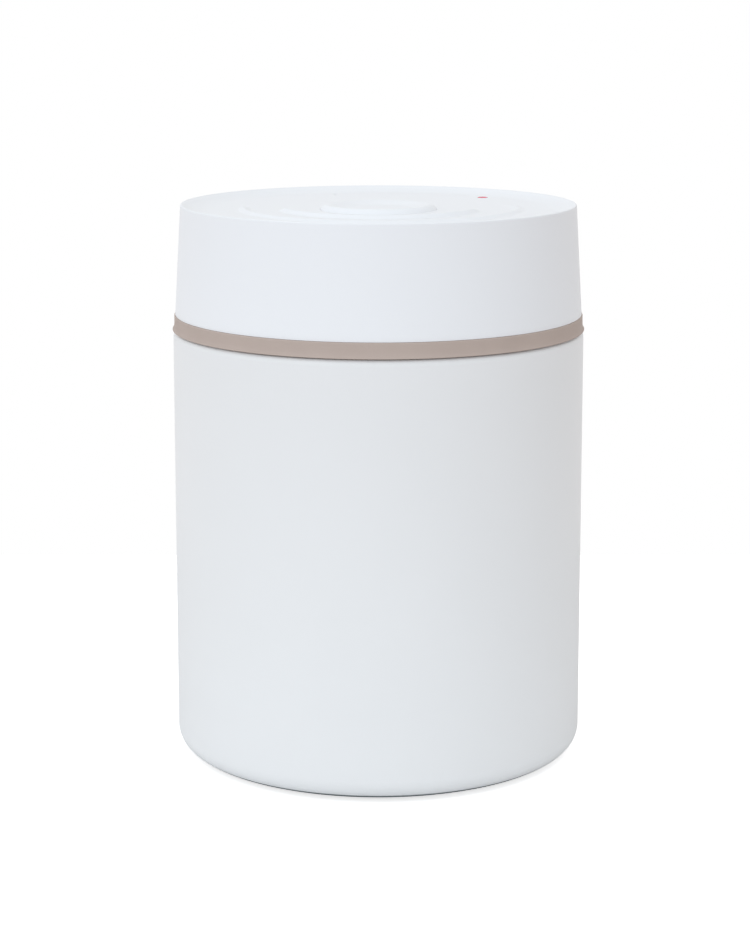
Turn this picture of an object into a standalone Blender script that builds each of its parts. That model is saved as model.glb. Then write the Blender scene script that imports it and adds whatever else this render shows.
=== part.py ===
"""Vacuum canister with an electric pump in its lid.

A double-walled steel jar stands on a silicone foot ring.  Its lid is a rippled cover
screwed to a plug-shaped tray, and a silicone band seals it to the jar's shoulder.
The tray carries a small diaphragm pump, its battery, the suction valve and the release
valve.  A round circuit board hangs from the cover, under the push button.

Metres, +Z up, origin at the centre of the underside.  The front faces -Y.
"""

import math

import bmesh
import bpy
from mathutils import Matrix, Vector

# Driving dimensions of the jar
BODY_RADIUS = 0.055
BODY_HEIGHT = 0.115
BASE_ROUND = 0.0055
SHOULDER_ROUND = 0.0012
SHOULDER_WIDTH = 0.0038
SHELL_WALL = 0.0008
LINER_WALL = 0.0008
JACKET_GAP = 0.0049
LINER_ROUND = 0.006
FOOT_LIFT = 0.0008
BASE_OPENING_INSET = 0.0075

# Driving dimensions of the lid
LID_HEIGHT = 0.0293
LID_SETBACK = 0.00055
LID_DRAFT = 0.00165
COVER_WALL = 0.0021
RIM_ROUND = 0.0004
DISH_DEPTH = 0.0016
DISH_SLOPE_WIDTH = 0.0070
BAND_HEIGHT = 0.0038
BAND_BULGE = 0.00075
BAND_PROUD = 0.0002
PLUG_DEPTH = 0.0085
PLUG_CLEARANCE = 0.0009
TRAY_WALL = 0.0024
TRAY_FLOOR = 0.0020
FLANGE_THICKNESS = 0.0026

# Driving dimensions of the button and the release valve
BUTTON_RADIUS = 0.0156
BUTTON_TRAVEL = 0.0015
BUTTON_WALL = 0.0016
STEM_RADIUS = 0.0030
PIN_RADIUS = 0.0020

# Bought-in pieces
MOTOR_RADIUS = 0.0090
MOTOR_LENGTH = 0.0200
CELL_RADIUS = 0.0070
CELL_LENGTH = 0.0480
BOARD_THICKNESS = 0.0016

# Clearances and facets
GAP = 0.0003
OVERRUN = 0.0005
MAIN_SIDES = 36
MIDDLE_SIDES = 20
SMALL_SIDES = 14
TINY_SIDES = 8
SHARP_ANGLE = math.radians(35)
MERGE_DISTANCE = 0.000001

# Levels and radii that several pieces share
BAND_BOTTOM = BODY_HEIGHT + GAP
BAND_TOP = BAND_BOTTOM + BAND_HEIGHT
SKIRT_BOTTOM = BAND_TOP + GAP
RIM_LEVEL = SKIRT_BOTTOM + LID_HEIGHT
DISH_LEVEL = RIM_LEVEL - DISH_DEPTH
COVER_UNDERSIDE = DISH_LEVEL - COVER_WALL
SKIRT_RADIUS = BODY_RADIUS - LID_SETBACK
RIM_RADIUS = SKIRT_RADIUS - LID_DRAFT
BASE_OPENING_RADIUS = BODY_RADIUS - BASE_OPENING_INSET
SHELL_MOUTH_RADIUS = BODY_RADIUS - SHOULDER_WIDTH
LINER_RADIUS = BODY_RADIUS - SHELL_WALL - JACKET_GAP
MOUTH_RADIUS = LINER_RADIUS - LINER_WALL
PLUG_RADIUS = MOUTH_RADIUS - PLUG_CLEARANCE
PLUG_BOTTOM = BODY_HEIGHT - PLUG_DEPTH
FLOOR_LEVEL = PLUG_BOTTOM + TRAY_FLOOR
TRAY_INNER_RADIUS = PLUG_RADIUS - TRAY_WALL
FLANGE_TOP = SKIRT_BOTTOM + FLANGE_THICKNESS
BUTTON_HOLE_RADIUS = BUTTON_RADIUS + GAP

# Finishes, each a colour, a roughness and a metallic value
WHITE_COAT = ((0.86, 0.87, 0.89, 1.0), 0.45, 0.0)
WHITE_PLASTIC = ((0.86, 0.87, 0.89, 1.0), 0.4, 0.0)
GREY_PLASTIC = ((0.55, 0.56, 0.58, 1.0), 0.5, 0.0)
BLACK_PLASTIC = ((0.03, 0.03, 0.03, 1.0), 0.5, 0.0)
CLEAR_PLASTIC = ((0.75, 0.76, 0.76, 1.0), 0.2, 0.0)
RED_WINDOW = ((0.75, 0.05, 0.09, 1.0), 0.2, 0.0)
TAUPE_SILICONE = ((0.45, 0.40, 0.36, 1.0), 0.7, 0.0)
CLEAR_SILICONE = ((0.75, 0.76, 0.76, 1.0), 0.5, 0.0)
DARK_RUBBER = ((0.10, 0.10, 0.11, 1.0), 0.7, 0.0)
FOAM = ((0.08, 0.08, 0.09, 1.0), 0.9, 0.0)
BRUSHED_STEEL = ((0.62, 0.62, 0.61, 1.0), 0.28, 1.0)
PLATED_STEEL = ((0.62, 0.62, 0.63, 1.0), 0.32, 1.0)
BOARD_LACQUER = ((0.04, 0.22, 0.10, 1.0), 0.45, 0.0)
CELL_SLEEVE = ((0.08, 0.18, 0.42, 1.0), 0.4, 0.0)
LEAD_SLEEVE = ((0.65, 0.06, 0.08, 1.0), 0.6, 0.0)


def clear_scene():
    """Remove whatever the file opened with."""
    for old in list(bpy.data.objects):
        bpy.data.objects.remove(old, do_unlink=True)


def dress(obj, finish):
    """Give a piece its own plain material and smooth its round faces."""
    color, roughness, metallic = finish
    material = bpy.data.materials.new(obj.name)
    material.use_nodes = True
    shader = material.node_tree.nodes["Principled BSDF"]
    shader.inputs["Base Color"].default_value = color
    shader.inputs["Roughness"].default_value = roughness
    shader.inputs["Metallic"].default_value = metallic
    obj.data.materials.append(material)
    obj.data.shade_smooth()
    obj.data.set_sharp_from_angle(angle=SHARP_ANGLE)
    return obj


def place(name, bm, location=(0, 0, 0), along=None):
    """Turn a bmesh into a named object, its own +Z laid along the given direction."""
    bmesh.ops.recalc_face_normals(bm, faces=bm.faces)
    mesh = bpy.data.meshes.new(name)
    bm.to_mesh(mesh)
    bm.free()
    obj = bpy.data.objects.new(name, mesh)
    obj.location = location
    if along is not None:
        obj.rotation_mode = "QUATERNION"
        obj.rotation_quaternion = Vector(along).to_track_quat("Z", "Y")
    bpy.context.scene.collection.objects.link(obj)
    return obj


def arc(centre_r, centre_z, radius, start, end, steps):
    """Points of an arc in the profile plane, angles in degrees from +R towards +Z."""
    points = []
    for step in range(steps + 1):
        angle = math.radians(start + (end - start) * step / steps)
        points.append((centre_r + radius * math.cos(angle), centre_z + radius * math.sin(angle)))
    return points


def add_turned(bm, profile, sides, centre=(0, 0, 0)):
    """Spin a profile of (radius, height) points about the vertical through centre.

    A profile that starts and ends on the axis is closed by the spin; any other is a loop.
    """
    made = [bm.verts.new((centre[0] + r, centre[1], centre[2] + z)) for r, z in profile]
    edges = [bm.edges.new(pair) for pair in zip(made, made[1:])]
    on_axis = profile[0][0] == 0 and profile[-1][0] == 0
    if not on_axis:
        edges.append(bm.edges.new((made[-1], made[0])))
    bmesh.ops.spin(
        bm, geom=made + edges, cent=centre, axis=(0, 0, 1),
        angle=2 * math.pi, steps=sides, use_merge=True,
    )
    bmesh.ops.remove_doubles(bm, verts=bm.verts, dist=MERGE_DISTANCE)


def turned(name, profile, sides, location=(0, 0, 0), along=None):
    """A piece turned on its own axis."""
    bm = bmesh.new()
    add_turned(bm, profile, sides)
    return place(name, bm, location, along)


def add_rod(bm, start, end, radius, sides=TINY_SIDES):
    """A plain round rod between two points."""
    start, end = Vector(start), Vector(end)
    run = end - start
    turn = run.to_track_quat("Z", "Y").to_matrix().to_4x4()
    bmesh.ops.create_cone(
        bm, cap_ends=True, segments=sides, radius1=radius, radius2=radius,
        depth=run.length, matrix=Matrix.Translation((start + end) / 2) @ turn,
    )


def add_prism(bm, outline, run):
    """Extrude a flat outline of 3-D points by the vector run."""
    face = bm.faces.new([bm.verts.new(point) for point in outline])
    grown = bmesh.ops.extrude_face_region(bm, geom=[face])
    moved = [item for item in grown["geom"] if isinstance(item, bmesh.types.BMVert)]
    bmesh.ops.translate(bm, verts=moved, vec=run)
    bmesh.ops.recalc_face_normals(bm, faces=bm.faces)


def add_block(bm, low, high):
    """A box between two corners."""
    outline = [
        (low[0], low[1], low[2]), (high[0], low[1], low[2]),
        (high[0], high[1], low[2]), (low[0], high[1], low[2]),
    ]
    add_prism(bm, outline, (0, 0, high[2] - low[2]))


def helper(name, bm):
    """An operand of a Boolean, kept out of the model."""
    obj = place(name, bm)
    obj.hide_render = True
    obj.display_type = "WIRE"
    return obj


def combine(obj, operand, operation):
    """Join or cut with an exact Boolean."""
    modifier = obj.modifiers.new(operand.name, "BOOLEAN")
    modifier.operation = operation
    modifier.solver = "EXACT"
    modifier.object = operand


def slot_outline(width, height, centre, steps=4):
    """A slot with round ends, in the XZ plane about centre."""
    radius = height / 2
    reach = width / 2 - radius
    points = []
    for side, start in ((1, -90), (-1, 90)):
        for x, z in arc(side * reach, 0, radius, start, start + 180, steps):
            points.append((centre[0] + x, centre[1], centre[2] + z))
    return points


# The jar

CAP_THICKNESS = 0.0022
CAP_BEAD = 0.0008
CAP_HOLLOW = 0.0005
FOOT_WIDTH = 0.0045
FOOT_THICKNESS = 0.0014
FOOT_INSET = 0.0020
CRADLE_RADIUS = 0.0300
CRADLE_WIDTH = 0.0020
CRADLE_HEIGHT = 0.0019
CAP_TOP = FOOT_LIFT + CAP_THICKNESS
CAP_RADIUS = BASE_OPENING_RADIUS - GAP
FOOT_OUTER_RADIUS = CAP_RADIUS - FOOT_INSET
FOOT_INNER_RADIUS = FOOT_OUTER_RADIUS - FOOT_WIDTH
LINER_UNDERSIDE = CAP_TOP + CRADLE_HEIGHT + GAP
LIP_RADIUS = SHELL_MOUTH_RADIUS - GAP
LIP_ROUND = 0.0010


def build_outer_shell():
    """Drawn steel jacket: open below for the base cap, turned in at the shoulder."""
    inner_wall = BODY_RADIUS - SHELL_WALL
    base_centre = (BODY_RADIUS - BASE_ROUND, FOOT_LIFT + BASE_ROUND)
    top_centre = (BODY_RADIUS - SHOULDER_ROUND, BODY_HEIGHT - SHOULDER_ROUND)
    profile = [(BASE_OPENING_RADIUS, FOOT_LIFT)]
    profile += arc(*base_centre, BASE_ROUND, -90, 0, 4)
    profile += arc(*top_centre, SHOULDER_ROUND, 0, 90, 2)
    profile += [(SHELL_MOUTH_RADIUS, BODY_HEIGHT), (SHELL_MOUTH_RADIUS, BODY_HEIGHT - SHELL_WALL)]
    profile += [(inner_wall, BODY_HEIGHT - SHELL_WALL)]
    profile += arc(*base_centre, BASE_ROUND - SHELL_WALL, 0, -90, 2)
    profile += [(BASE_OPENING_RADIUS, FOOT_LIFT + SHELL_WALL)]
    shell = turned("outer_shell", profile, MAIN_SIDES)
    dress(shell, WHITE_COAT)


def build_inner_liner():
    """Drawn stainless cup whose turned-out lip meets the shell at the mouth."""
    floor_centre = (LINER_RADIUS - LINER_ROUND, LINER_UNDERSIDE + LINER_ROUND)
    profile = [(0, LINER_UNDERSIDE)]
    profile += arc(*floor_centre, LINER_ROUND, -90, 0, 3)
    profile += [(LINER_RADIUS, BODY_HEIGHT - LINER_WALL), (LIP_RADIUS, BODY_HEIGHT - LINER_WALL)]
    profile += [(LIP_RADIUS, BODY_HEIGHT)]
    profile += arc(MOUTH_RADIUS + LIP_ROUND, BODY_HEIGHT - LIP_ROUND, LIP_ROUND, 90, 180, 2)
    profile += arc(*floor_centre, LINER_ROUND - LINER_WALL, 0, -90, 3)
    profile += [(0, LINER_UNDERSIDE + LINER_WALL)]
    liner = turned("inner_liner", profile, MAIN_SIDES)
    dress(liner, BRUSHED_STEEL)


def build_base_cap():
    """Moulded disc snapped into the shell's underside; its ring rib carries the liner."""
    groove_top = FOOT_THICKNESS + GAP
    bead_level = FOOT_LIFT + SHELL_WALL + GAP
    bead_radius = CAP_RADIUS + CAP_BEAD
    rib_outer = CRADLE_RADIUS + CRADLE_WIDTH / 2
    rib_inner = CRADLE_RADIUS - CRADLE_WIDTH / 2
    profile = [
        (0, FOOT_LIFT + CAP_HOLLOW),
        (CRADLE_RADIUS, FOOT_LIFT + CAP_HOLLOW),
        (CRADLE_RADIUS + CAP_HOLLOW, FOOT_LIFT),
        (FOOT_INNER_RADIUS - GAP, FOOT_LIFT),
        (FOOT_INNER_RADIUS - GAP, groove_top),
        (FOOT_OUTER_RADIUS + GAP, groove_top),
        (FOOT_OUTER_RADIUS + GAP, FOOT_LIFT),
        (CAP_RADIUS, FOOT_LIFT),
        (CAP_RADIUS, bead_level),
        (bead_radius, bead_level),
        (CAP_RADIUS, CAP_TOP),
        (rib_outer, CAP_TOP),
        (rib_outer, CAP_TOP + CRADLE_HEIGHT),
        (rib_inner, CAP_TOP + CRADLE_HEIGHT),
        (rib_inner, CAP_TOP),
        (0, CAP_TOP),
    ]
    cap = turned("base_cap", profile, MAIN_SIDES)
    dress(cap, GREY_PLASTIC)


def build_foot_ring():
    """Silicone ring pressed into the base cap's groove; the jar stands on it."""
    chamfer = FOOT_LIFT / 2
    profile = [
        (FOOT_INNER_RADIUS + chamfer, 0),
        (FOOT_OUTER_RADIUS - chamfer, 0),
        (FOOT_OUTER_RADIUS, chamfer),
        (FOOT_OUTER_RADIUS, FOOT_THICKNESS),
        (FOOT_INNER_RADIUS, FOOT_THICKNESS),
        (FOOT_INNER_RADIUS, chamfer),
    ]
    ring = turned("foot_ring", profile, MAIN_SIDES)
    dress(ring, DARK_RUBBER)


# The lid's cover

INNER_RIPPLE_SHARE = 0.584
OUTER_RIPPLE_SHARE = 0.82
RIPPLE_HALF_WIDTH = 0.0022
INNER_RIPPLE_HEIGHT = 0.0010
OUTER_RIPPLE_HEIGHT = 0.0009
INNER_RIPPLE_ARC = (188, 350)
OUTER_RIPPLE_ARC = (172, 400)
RIPPLE_FADE = 14
SLOPE_STEPS = 4
DISH_FLOOR_RADIUS = RIM_RADIUS - RIM_ROUND - DISH_SLOPE_WIDTH
HOLE_COLLAR_WIDTH = 0.0026
HOLE_COLLAR_DEPTH = 0.0005
HOLE_BREAK = 0.0003
CORNER_BREAK = 0.0018
SCREW_CIRCLE_INSET = 0.0049
SCREW_CIRCLE_RADIUS = SKIRT_RADIUS - SCREW_CIRCLE_INSET
COVER_BOSS_RADIUS = 0.0029
COVER_BOSS_HEIGHT = 0.0100
COVER_SCREW_ANGLES = (45, 135, 225, 315)
SCREW_SHANK_RADIUS = 0.0010
SCREW_HEAD_RADIUS = 0.00155
SCREW_HEAD_HEIGHT = 0.0011
COVER_SCREW_LENGTH = 0.0070
POST_RADIUS = 0.0025
POST_CIRCLE_SHARE = 0.5
POST_ANGLES = (90, 210, 330)
BOARD_DROP = 0.0073
BOARD_TOP = COVER_UNDERSIDE - BOARD_DROP
BOARD_BOTTOM = BOARD_TOP - BOARD_THICKNESS
LAMP_ANGLE = 48
LAMP_INSET = 0.0017
LAMP_RADIUS = 0.0014
LAMP_CIRCLE = DISH_FLOOR_RADIUS - LAMP_INSET
VENT_ANGLE = 107
VENT_RADIUS = 0.0006
VENT_INSET = 0.0035
PORT_WIDTH = 0.0090
PORT_HEIGHT = 0.0032
PORT_LEVEL = BOARD_TOP + GAP + PORT_HEIGHT / 2


def polar(radius, angle, z=0):
    """A point from its radius and its angle in degrees about the lid's axis."""
    turn = math.radians(angle)
    return Vector((radius * math.cos(turn), radius * math.sin(turn), z))


def arc_share(angle, ends):
    """1 along an arc of the dish, easing to 0 at both of its ends."""
    start, end = ends
    along = (angle - start) % 360
    nearest = min(along, end - start - along)
    if nearest <= 0:
        return 0
    ease = min(1, nearest / RIPPLE_FADE)
    return ease * ease * (3 - 2 * ease)


def ripple_rise(radius, angle):
    """Height of the two low ripples above the dish floor."""
    rise = 0
    for share, height, ends in (
        (INNER_RIPPLE_SHARE, INNER_RIPPLE_HEIGHT, INNER_RIPPLE_ARC),
        (OUTER_RIPPLE_SHARE, OUTER_RIPPLE_HEIGHT, OUTER_RIPPLE_ARC),
    ):
        offset = abs(radius - share * DISH_FLOOR_RADIUS) / RIPPLE_HALF_WIDTH
        if offset < 1:
            bump = (1 + math.cos(math.pi * offset)) / 2
            rise += height * bump * arc_share(angle, ends)
    return rise


def dish_profile():
    """The dish from the button hole out to the rim, before it is rippled."""
    points = [(BUTTON_HOLE_RADIUS, DISH_LEVEL - HOLE_BREAK)]
    points += [(BUTTON_HOLE_RADIUS + HOLE_BREAK, DISH_LEVEL)]
    for share in (INNER_RIPPLE_SHARE, OUTER_RIPPLE_SHARE):
        crest = share * DISH_FLOOR_RADIUS
        for step in (-1, -1 / 2, 0, 1 / 2, 1):
            points.append((crest + step * RIPPLE_HALF_WIDTH, DISH_LEVEL))
    points.append((DISH_FLOOR_RADIUS, DISH_LEVEL))
    slope_rise = DISH_DEPTH - RIM_ROUND / 2
    for step in range(1, SLOPE_STEPS):
        share = step / SLOPE_STEPS
        ease = share * share * (3 - 2 * share)
        radius = DISH_FLOOR_RADIUS + share * (DISH_SLOPE_WIDTH - RIM_ROUND)
        points.append((radius, DISH_LEVEL + ease * slope_rise))
    points += arc(RIM_RADIUS - RIM_ROUND, RIM_LEVEL - RIM_ROUND, RIM_ROUND, 135, 0, 4)
    return points


def cover_profile():
    """Section of the whole cover: dish, rim, skirt and the inside of the wall."""
    inner_bottom = SKIRT_RADIUS - COVER_WALL
    inner_top = RIM_RADIUS - COVER_WALL
    collar_radius = BUTTON_HOLE_RADIUS + HOLE_COLLAR_WIDTH
    collar_level = COVER_UNDERSIDE - HOLE_COLLAR_DEPTH
    profile = dish_profile()
    profile += [(SKIRT_RADIUS, SKIRT_BOTTOM), (inner_bottom, SKIRT_BOTTOM)]
    profile += [(inner_top, COVER_UNDERSIDE - CORNER_BREAK)]
    profile += [(inner_top - CORNER_BREAK, COVER_UNDERSIDE)]
    profile += [(collar_radius + HOLE_COLLAR_DEPTH, COVER_UNDERSIDE), (collar_radius, collar_level)]
    profile += [(BUTTON_HOLE_RADIUS, collar_level)]
    return profile


def cover_bosses():
    """Four screw bosses on the skirt and three posts for the board."""
    bm = bmesh.new()
    foot = FLANGE_TOP + GAP
    for angle in COVER_SCREW_ANGLES:
        low = polar(SCREW_CIRCLE_RADIUS, angle, foot)
        add_rod(bm, low, low + Vector((0, 0, COVER_BOSS_HEIGHT)), COVER_BOSS_RADIUS)
    for angle in POST_ANGLES:
        low = polar(POST_CIRCLE_SHARE * TRAY_INNER_RADIUS, angle, BOARD_TOP + GAP)
        high = low.copy()
        high.z = COVER_UNDERSIDE + OVERRUN
        add_rod(bm, low, high, POST_RADIUS)
    return helper("lid_cover_bosses", bm)


def cover_cuts():
    """Pilot holes, the lamp hole, the exhaust pinhole and the charging slot."""
    bm = bmesh.new()
    pilot = SCREW_SHANK_RADIUS + GAP
    for angle in COVER_SCREW_ANGLES:
        low = polar(SCREW_CIRCLE_RADIUS, angle, FLANGE_TOP)
        add_rod(bm, low, low + Vector((0, 0, COVER_SCREW_LENGTH)), pilot)
    for angle in POST_ANGLES:
        low = polar(POST_CIRCLE_SHARE * TRAY_INNER_RADIUS, angle, BOARD_TOP)
        add_rod(bm, low, low + Vector((0, 0, BOARD_SCREW_LENGTH)), pilot)
    through_low = COVER_UNDERSIDE - OVERRUN
    through_high = RIM_LEVEL + OVERRUN
    for circle, angle, radius in (
        (LAMP_CIRCLE, LAMP_ANGLE, LAMP_RADIUS + GAP),
        (DISH_FLOOR_RADIUS - VENT_INSET, VENT_ANGLE, VENT_RADIUS),
    ):
        add_rod(bm, polar(circle, angle, through_low), polar(circle, angle, through_high), radius)
    slot_back = RIM_RADIUS - COVER_WALL - OVERRUN
    outline = slot_outline(PORT_WIDTH + 2 * GAP, PORT_HEIGHT + 2 * GAP, (0, slot_back, PORT_LEVEL))
    add_prism(bm, outline, (0, SKIRT_RADIUS + OVERRUN - slot_back, 0))
    return helper("lid_cover_cuts", bm)


def build_lid_cover():
    """Moulded white cover: a shallow dish with ripples spreading from the button."""
    bm = bmesh.new()
    add_turned(bm, cover_profile(), MAIN_SIDES)
    for vert in bm.verts:
        on_floor = abs(vert.co.z - DISH_LEVEL) < MERGE_DISTANCE
        if on_floor:
            angle = math.degrees(math.atan2(vert.co.y, vert.co.x))
            vert.co.z += ripple_rise(math.hypot(vert.co.x, vert.co.y), angle)
    cover = place("lid_cover", bm)
    combine(cover, cover_bosses(), "UNION")
    combine(cover, cover_cuts(), "DIFFERENCE")
    dress(cover, WHITE_PLASTIC)


# The seal band and the tray

BEAD_DEPTH = 0.0012
BEAD_HEIGHT = 0.0020
BAND_EDGE_ROUND = 0.0007
BEAD_MIDDLE = BAND_BOTTOM + BAND_HEIGHT / 2
TUBE_WALL = 0.0016
TUBE_HEIGHT = 0.0055
PLUG_ROUND = 0.0020
CRADLE_RIB = 0.0016
RIB_MARGIN = 0.0020
NOTCH_STEPS = 5
CRADLE_RIB_SHARES = (0.12, 0.88)
FLOW_HOLE_SIDES = 6


def build_seal_band():
    """Silicone band between lid and jar: it bulges outside and locks into the tray inside."""
    inner = PLUG_RADIUS + GAP
    flank = BODY_RADIUS + BAND_PROUD - BAND_BULGE
    steps = 4
    profile = [(inner, BAND_BOTTOM), (flank - BAND_EDGE_ROUND, BAND_BOTTOM)]
    for step in range(steps + 1):
        share = step / steps
        height = BAND_EDGE_ROUND / 2 + share * (BAND_HEIGHT - BAND_EDGE_ROUND)
        profile.append((flank + BAND_BULGE * math.sin(math.pi * share), BAND_BOTTOM + height))
    profile += [(flank - BAND_EDGE_ROUND, BAND_TOP), (inner, BAND_TOP)]
    profile += [(inner, BEAD_MIDDLE + BEAD_HEIGHT / 2)]
    profile += [(inner - BEAD_DEPTH, BEAD_MIDDLE + BEAD_HEIGHT / 2)]
    profile += [(inner - BEAD_DEPTH, BEAD_MIDDLE - BEAD_HEIGHT / 2)]
    profile += [(inner, BEAD_MIDDLE - BEAD_HEIGHT / 2)]
    band = turned("seal_band", profile, MAIN_SIDES)
    dress(band, TAUPE_SILICONE)


# Places of the pump, the cell and the valves on the tray

PUMP_REACH = 0.0230
PUMP_MARGIN = 0.0032
MOTOR_CLEAR = 0.0020
CELL_MARGIN = 0.0050
PAD_THICKNESS = 0.0010
PUMP_Y = math.sqrt(TRAY_INNER_RADIUS ** 2 - PUMP_REACH ** 2) - MOTOR_RADIUS - PUMP_MARGIN
PUMP_Z = FLOOR_LEVEL + MOTOR_CLEAR + MOTOR_RADIUS
CELL_REACH = CELL_LENGTH / 2
CELL_Y = CELL_RADIUS + CELL_MARGIN - math.sqrt(TRAY_INNER_RADIUS ** 2 - CELL_REACH ** 2)
CELL_Z = FLOOR_LEVEL + GAP + PAD_THICKNESS + GAP + CELL_RADIUS
MOTOR_BACK = -PUMP_REACH + GAP
MOTOR_FRONT = MOTOR_BACK + MOTOR_LENGTH
CLAMP_X = MOTOR_BACK + MOTOR_LENGTH / 2
CLAMP_WALL = 0.0015
CLAMP_WIDTH = 0.0070
TAB_LENGTH = 0.0042
TAB_THICKNESS = 0.0015
CLAMP_POST_RADIUS = 0.0024
CLAMP_POST_OFFSET = MOTOR_RADIUS + GAP + CLAMP_WALL + TAB_LENGTH / 2
CRANKCASE_LENGTH = 0.0100
DIAPHRAGM_THICKNESS = 0.0012
HEAD_LENGTH = 0.0055
NOZZLE_LENGTH = 0.0040
NOZZLE_RADIUS = 0.0010
CRANKCASE_BACK = MOTOR_FRONT + GAP
CRANKCASE_FRONT = CRANKCASE_BACK + CRANKCASE_LENGTH
DIAPHRAGM_BACK = CRANKCASE_FRONT + GAP
HEAD_BACK = DIAPHRAGM_BACK + DIAPHRAGM_THICKNESS + GAP
HEAD_FRONT = HEAD_BACK + HEAD_LENGTH
NOZZLE_TIP = HEAD_FRONT + NOZZLE_LENGTH
HOSE_BEND = 0.0065
VALVE_X = NOZZLE_TIP + HOSE_BEND
VALVE_CAP_RADIUS = 0.0056
VALVE_RING_WALL = 0.0010
VALVE_RING_HEIGHT = 0.0015
VALVE_STEM_RADIUS = 0.0009
FLOW_CIRCLE_RADIUS = 0.0026
FLOW_HOLE_RADIUS = 0.0005
FLOW_HOLES = 5


def notched_rib(bm, x, y, axis_z, radius):
    """A rib across the floor with a round notch that carries a lying cylinder."""
    half = radius + RIB_MARGIN
    top = axis_z - radius / 2
    bottom = FLOOR_LEVEL - OVERRUN
    hold = radius + GAP
    edge = math.degrees(math.asin((axis_z - top) / hold))
    hold /= math.cos(math.radians(90 - edge) / NOTCH_STEPS)
    outline = [(x, y - half, bottom), (x, y + half, bottom), (x, y + half, top)]
    for across, up in arc(y, axis_z, hold, -edge, edge - 180, NOTCH_STEPS):
        outline.append((x, across, up))
    outline.append((x, y - half, top))
    add_prism(bm, outline, (CRADLE_RIB, 0, 0))


def tray_fittings():
    """Ribs, clamp posts and the ring that stands round the valve cap."""
    bm = bmesh.new()
    for share in CRADLE_RIB_SHARES:
        rib_x = MOTOR_BACK + share * MOTOR_LENGTH - CRADLE_RIB / 2
        notched_rib(bm, rib_x, PUMP_Y, PUMP_Z, MOTOR_RADIUS)
        rib_x = -CELL_REACH + share * CELL_LENGTH - CRADLE_RIB / 2
        notched_rib(bm, rib_x, CELL_Y, CELL_Z, CELL_RADIUS)
    for side in (-1, 1):
        foot = Vector((CLAMP_X, PUMP_Y + side * CLAMP_POST_OFFSET, FLOOR_LEVEL - OVERRUN))
        top = Vector((foot.x, foot.y, PUMP_Z - GAP))
        add_rod(bm, foot, top, CLAMP_POST_RADIUS)
    ring_inner = VALVE_CAP_RADIUS + GAP
    ring = [
        (ring_inner, -OVERRUN), (ring_inner + VALVE_RING_WALL, -OVERRUN),
        (ring_inner + VALVE_RING_WALL, VALVE_RING_HEIGHT), (ring_inner, VALVE_RING_HEIGHT),
    ]
    add_turned(bm, ring, SMALL_SIDES, (VALVE_X, PUMP_Y, FLOOR_LEVEL))
    return helper("lid_tray_fittings", bm)


def tray_cuts():
    """Screw holes in the flange and posts, and the suction valve's holes."""
    bm = bmesh.new()
    pilot = SCREW_SHANK_RADIUS + GAP
    up = Vector((0, 0, 1))
    recess = SCREW_HEAD_RADIUS + GAP
    stepped = [
        (0, -OVERRUN), (recess, -OVERRUN), (recess, SCREW_HEAD_HEIGHT + GAP),
        (pilot, SCREW_HEAD_HEIGHT + GAP), (pilot, FLANGE_THICKNESS + OVERRUN),
        (0, FLANGE_THICKNESS + OVERRUN),
    ]
    for angle in COVER_SCREW_ANGLES:
        add_turned(bm, stepped, TINY_SIDES, polar(SCREW_CIRCLE_RADIUS, angle, SKIRT_BOTTOM))
    for side in (-1, 1):
        top = Vector((CLAMP_X, PUMP_Y + side * CLAMP_POST_OFFSET, PUMP_Z))
        add_rod(bm, top - up * CLAMP_SCREW_LENGTH, top, pilot)
    floor = Vector((VALVE_X, PUMP_Y, PLUG_BOTTOM - OVERRUN))
    through = up * (TRAY_FLOOR + 2 * OVERRUN)
    add_rod(bm, floor, floor + through, VALVE_STEM_RADIUS + GAP)
    for hole in range(FLOW_HOLES):
        low = floor + polar(FLOW_CIRCLE_RADIUS, 360 * hole / FLOW_HOLES)
        add_rod(bm, low, low + through, FLOW_HOLE_RADIUS, FLOW_HOLE_SIDES)
    return helper("lid_tray_cuts", bm)


def build_lid_tray():
    """Moulded tray: the plug in the mouth, the seal's groove and the flange under the cover."""
    groove_radius = PLUG_RADIUS - BEAD_DEPTH
    groove_low = BEAD_MIDDLE - BEAD_HEIGHT / 2 - GAP
    groove_high = BEAD_MIDDLE + BEAD_HEIGHT / 2 + GAP
    flange_radius = SKIRT_RADIUS - COVER_WALL - GAP - LID_DRAFT * FLANGE_THICKNESS / LID_HEIGHT
    guide = PIN_RADIUS + 2 * GAP
    profile = [(guide, PLUG_BOTTOM)]
    profile += arc(PLUG_RADIUS - PLUG_ROUND, PLUG_BOTTOM + PLUG_ROUND, PLUG_ROUND, -90, 0, 3)
    profile += [(PLUG_RADIUS, groove_low), (groove_radius, groove_low)]
    profile += [(groove_radius, groove_high), (PLUG_RADIUS, groove_high)]
    profile += [(PLUG_RADIUS, SKIRT_BOTTOM), (flange_radius, SKIRT_BOTTOM)]
    profile += [(flange_radius, FLANGE_TOP), (TRAY_INNER_RADIUS, FLANGE_TOP)]
    profile += [(TRAY_INNER_RADIUS, FLOOR_LEVEL), (guide + TUBE_WALL, FLOOR_LEVEL)]
    profile += [(guide + TUBE_WALL, FLOOR_LEVEL + TUBE_HEIGHT), (guide, FLOOR_LEVEL + TUBE_HEIGHT)]
    tray = turned("lid_tray", profile, MAIN_SIDES)
    combine(tray, tray_fittings(), "UNION")
    combine(tray, tray_cuts(), "DIFFERENCE")
    dress(tray, GREY_PLASTIC)


# The button, its rubber dome and the release valve

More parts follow.
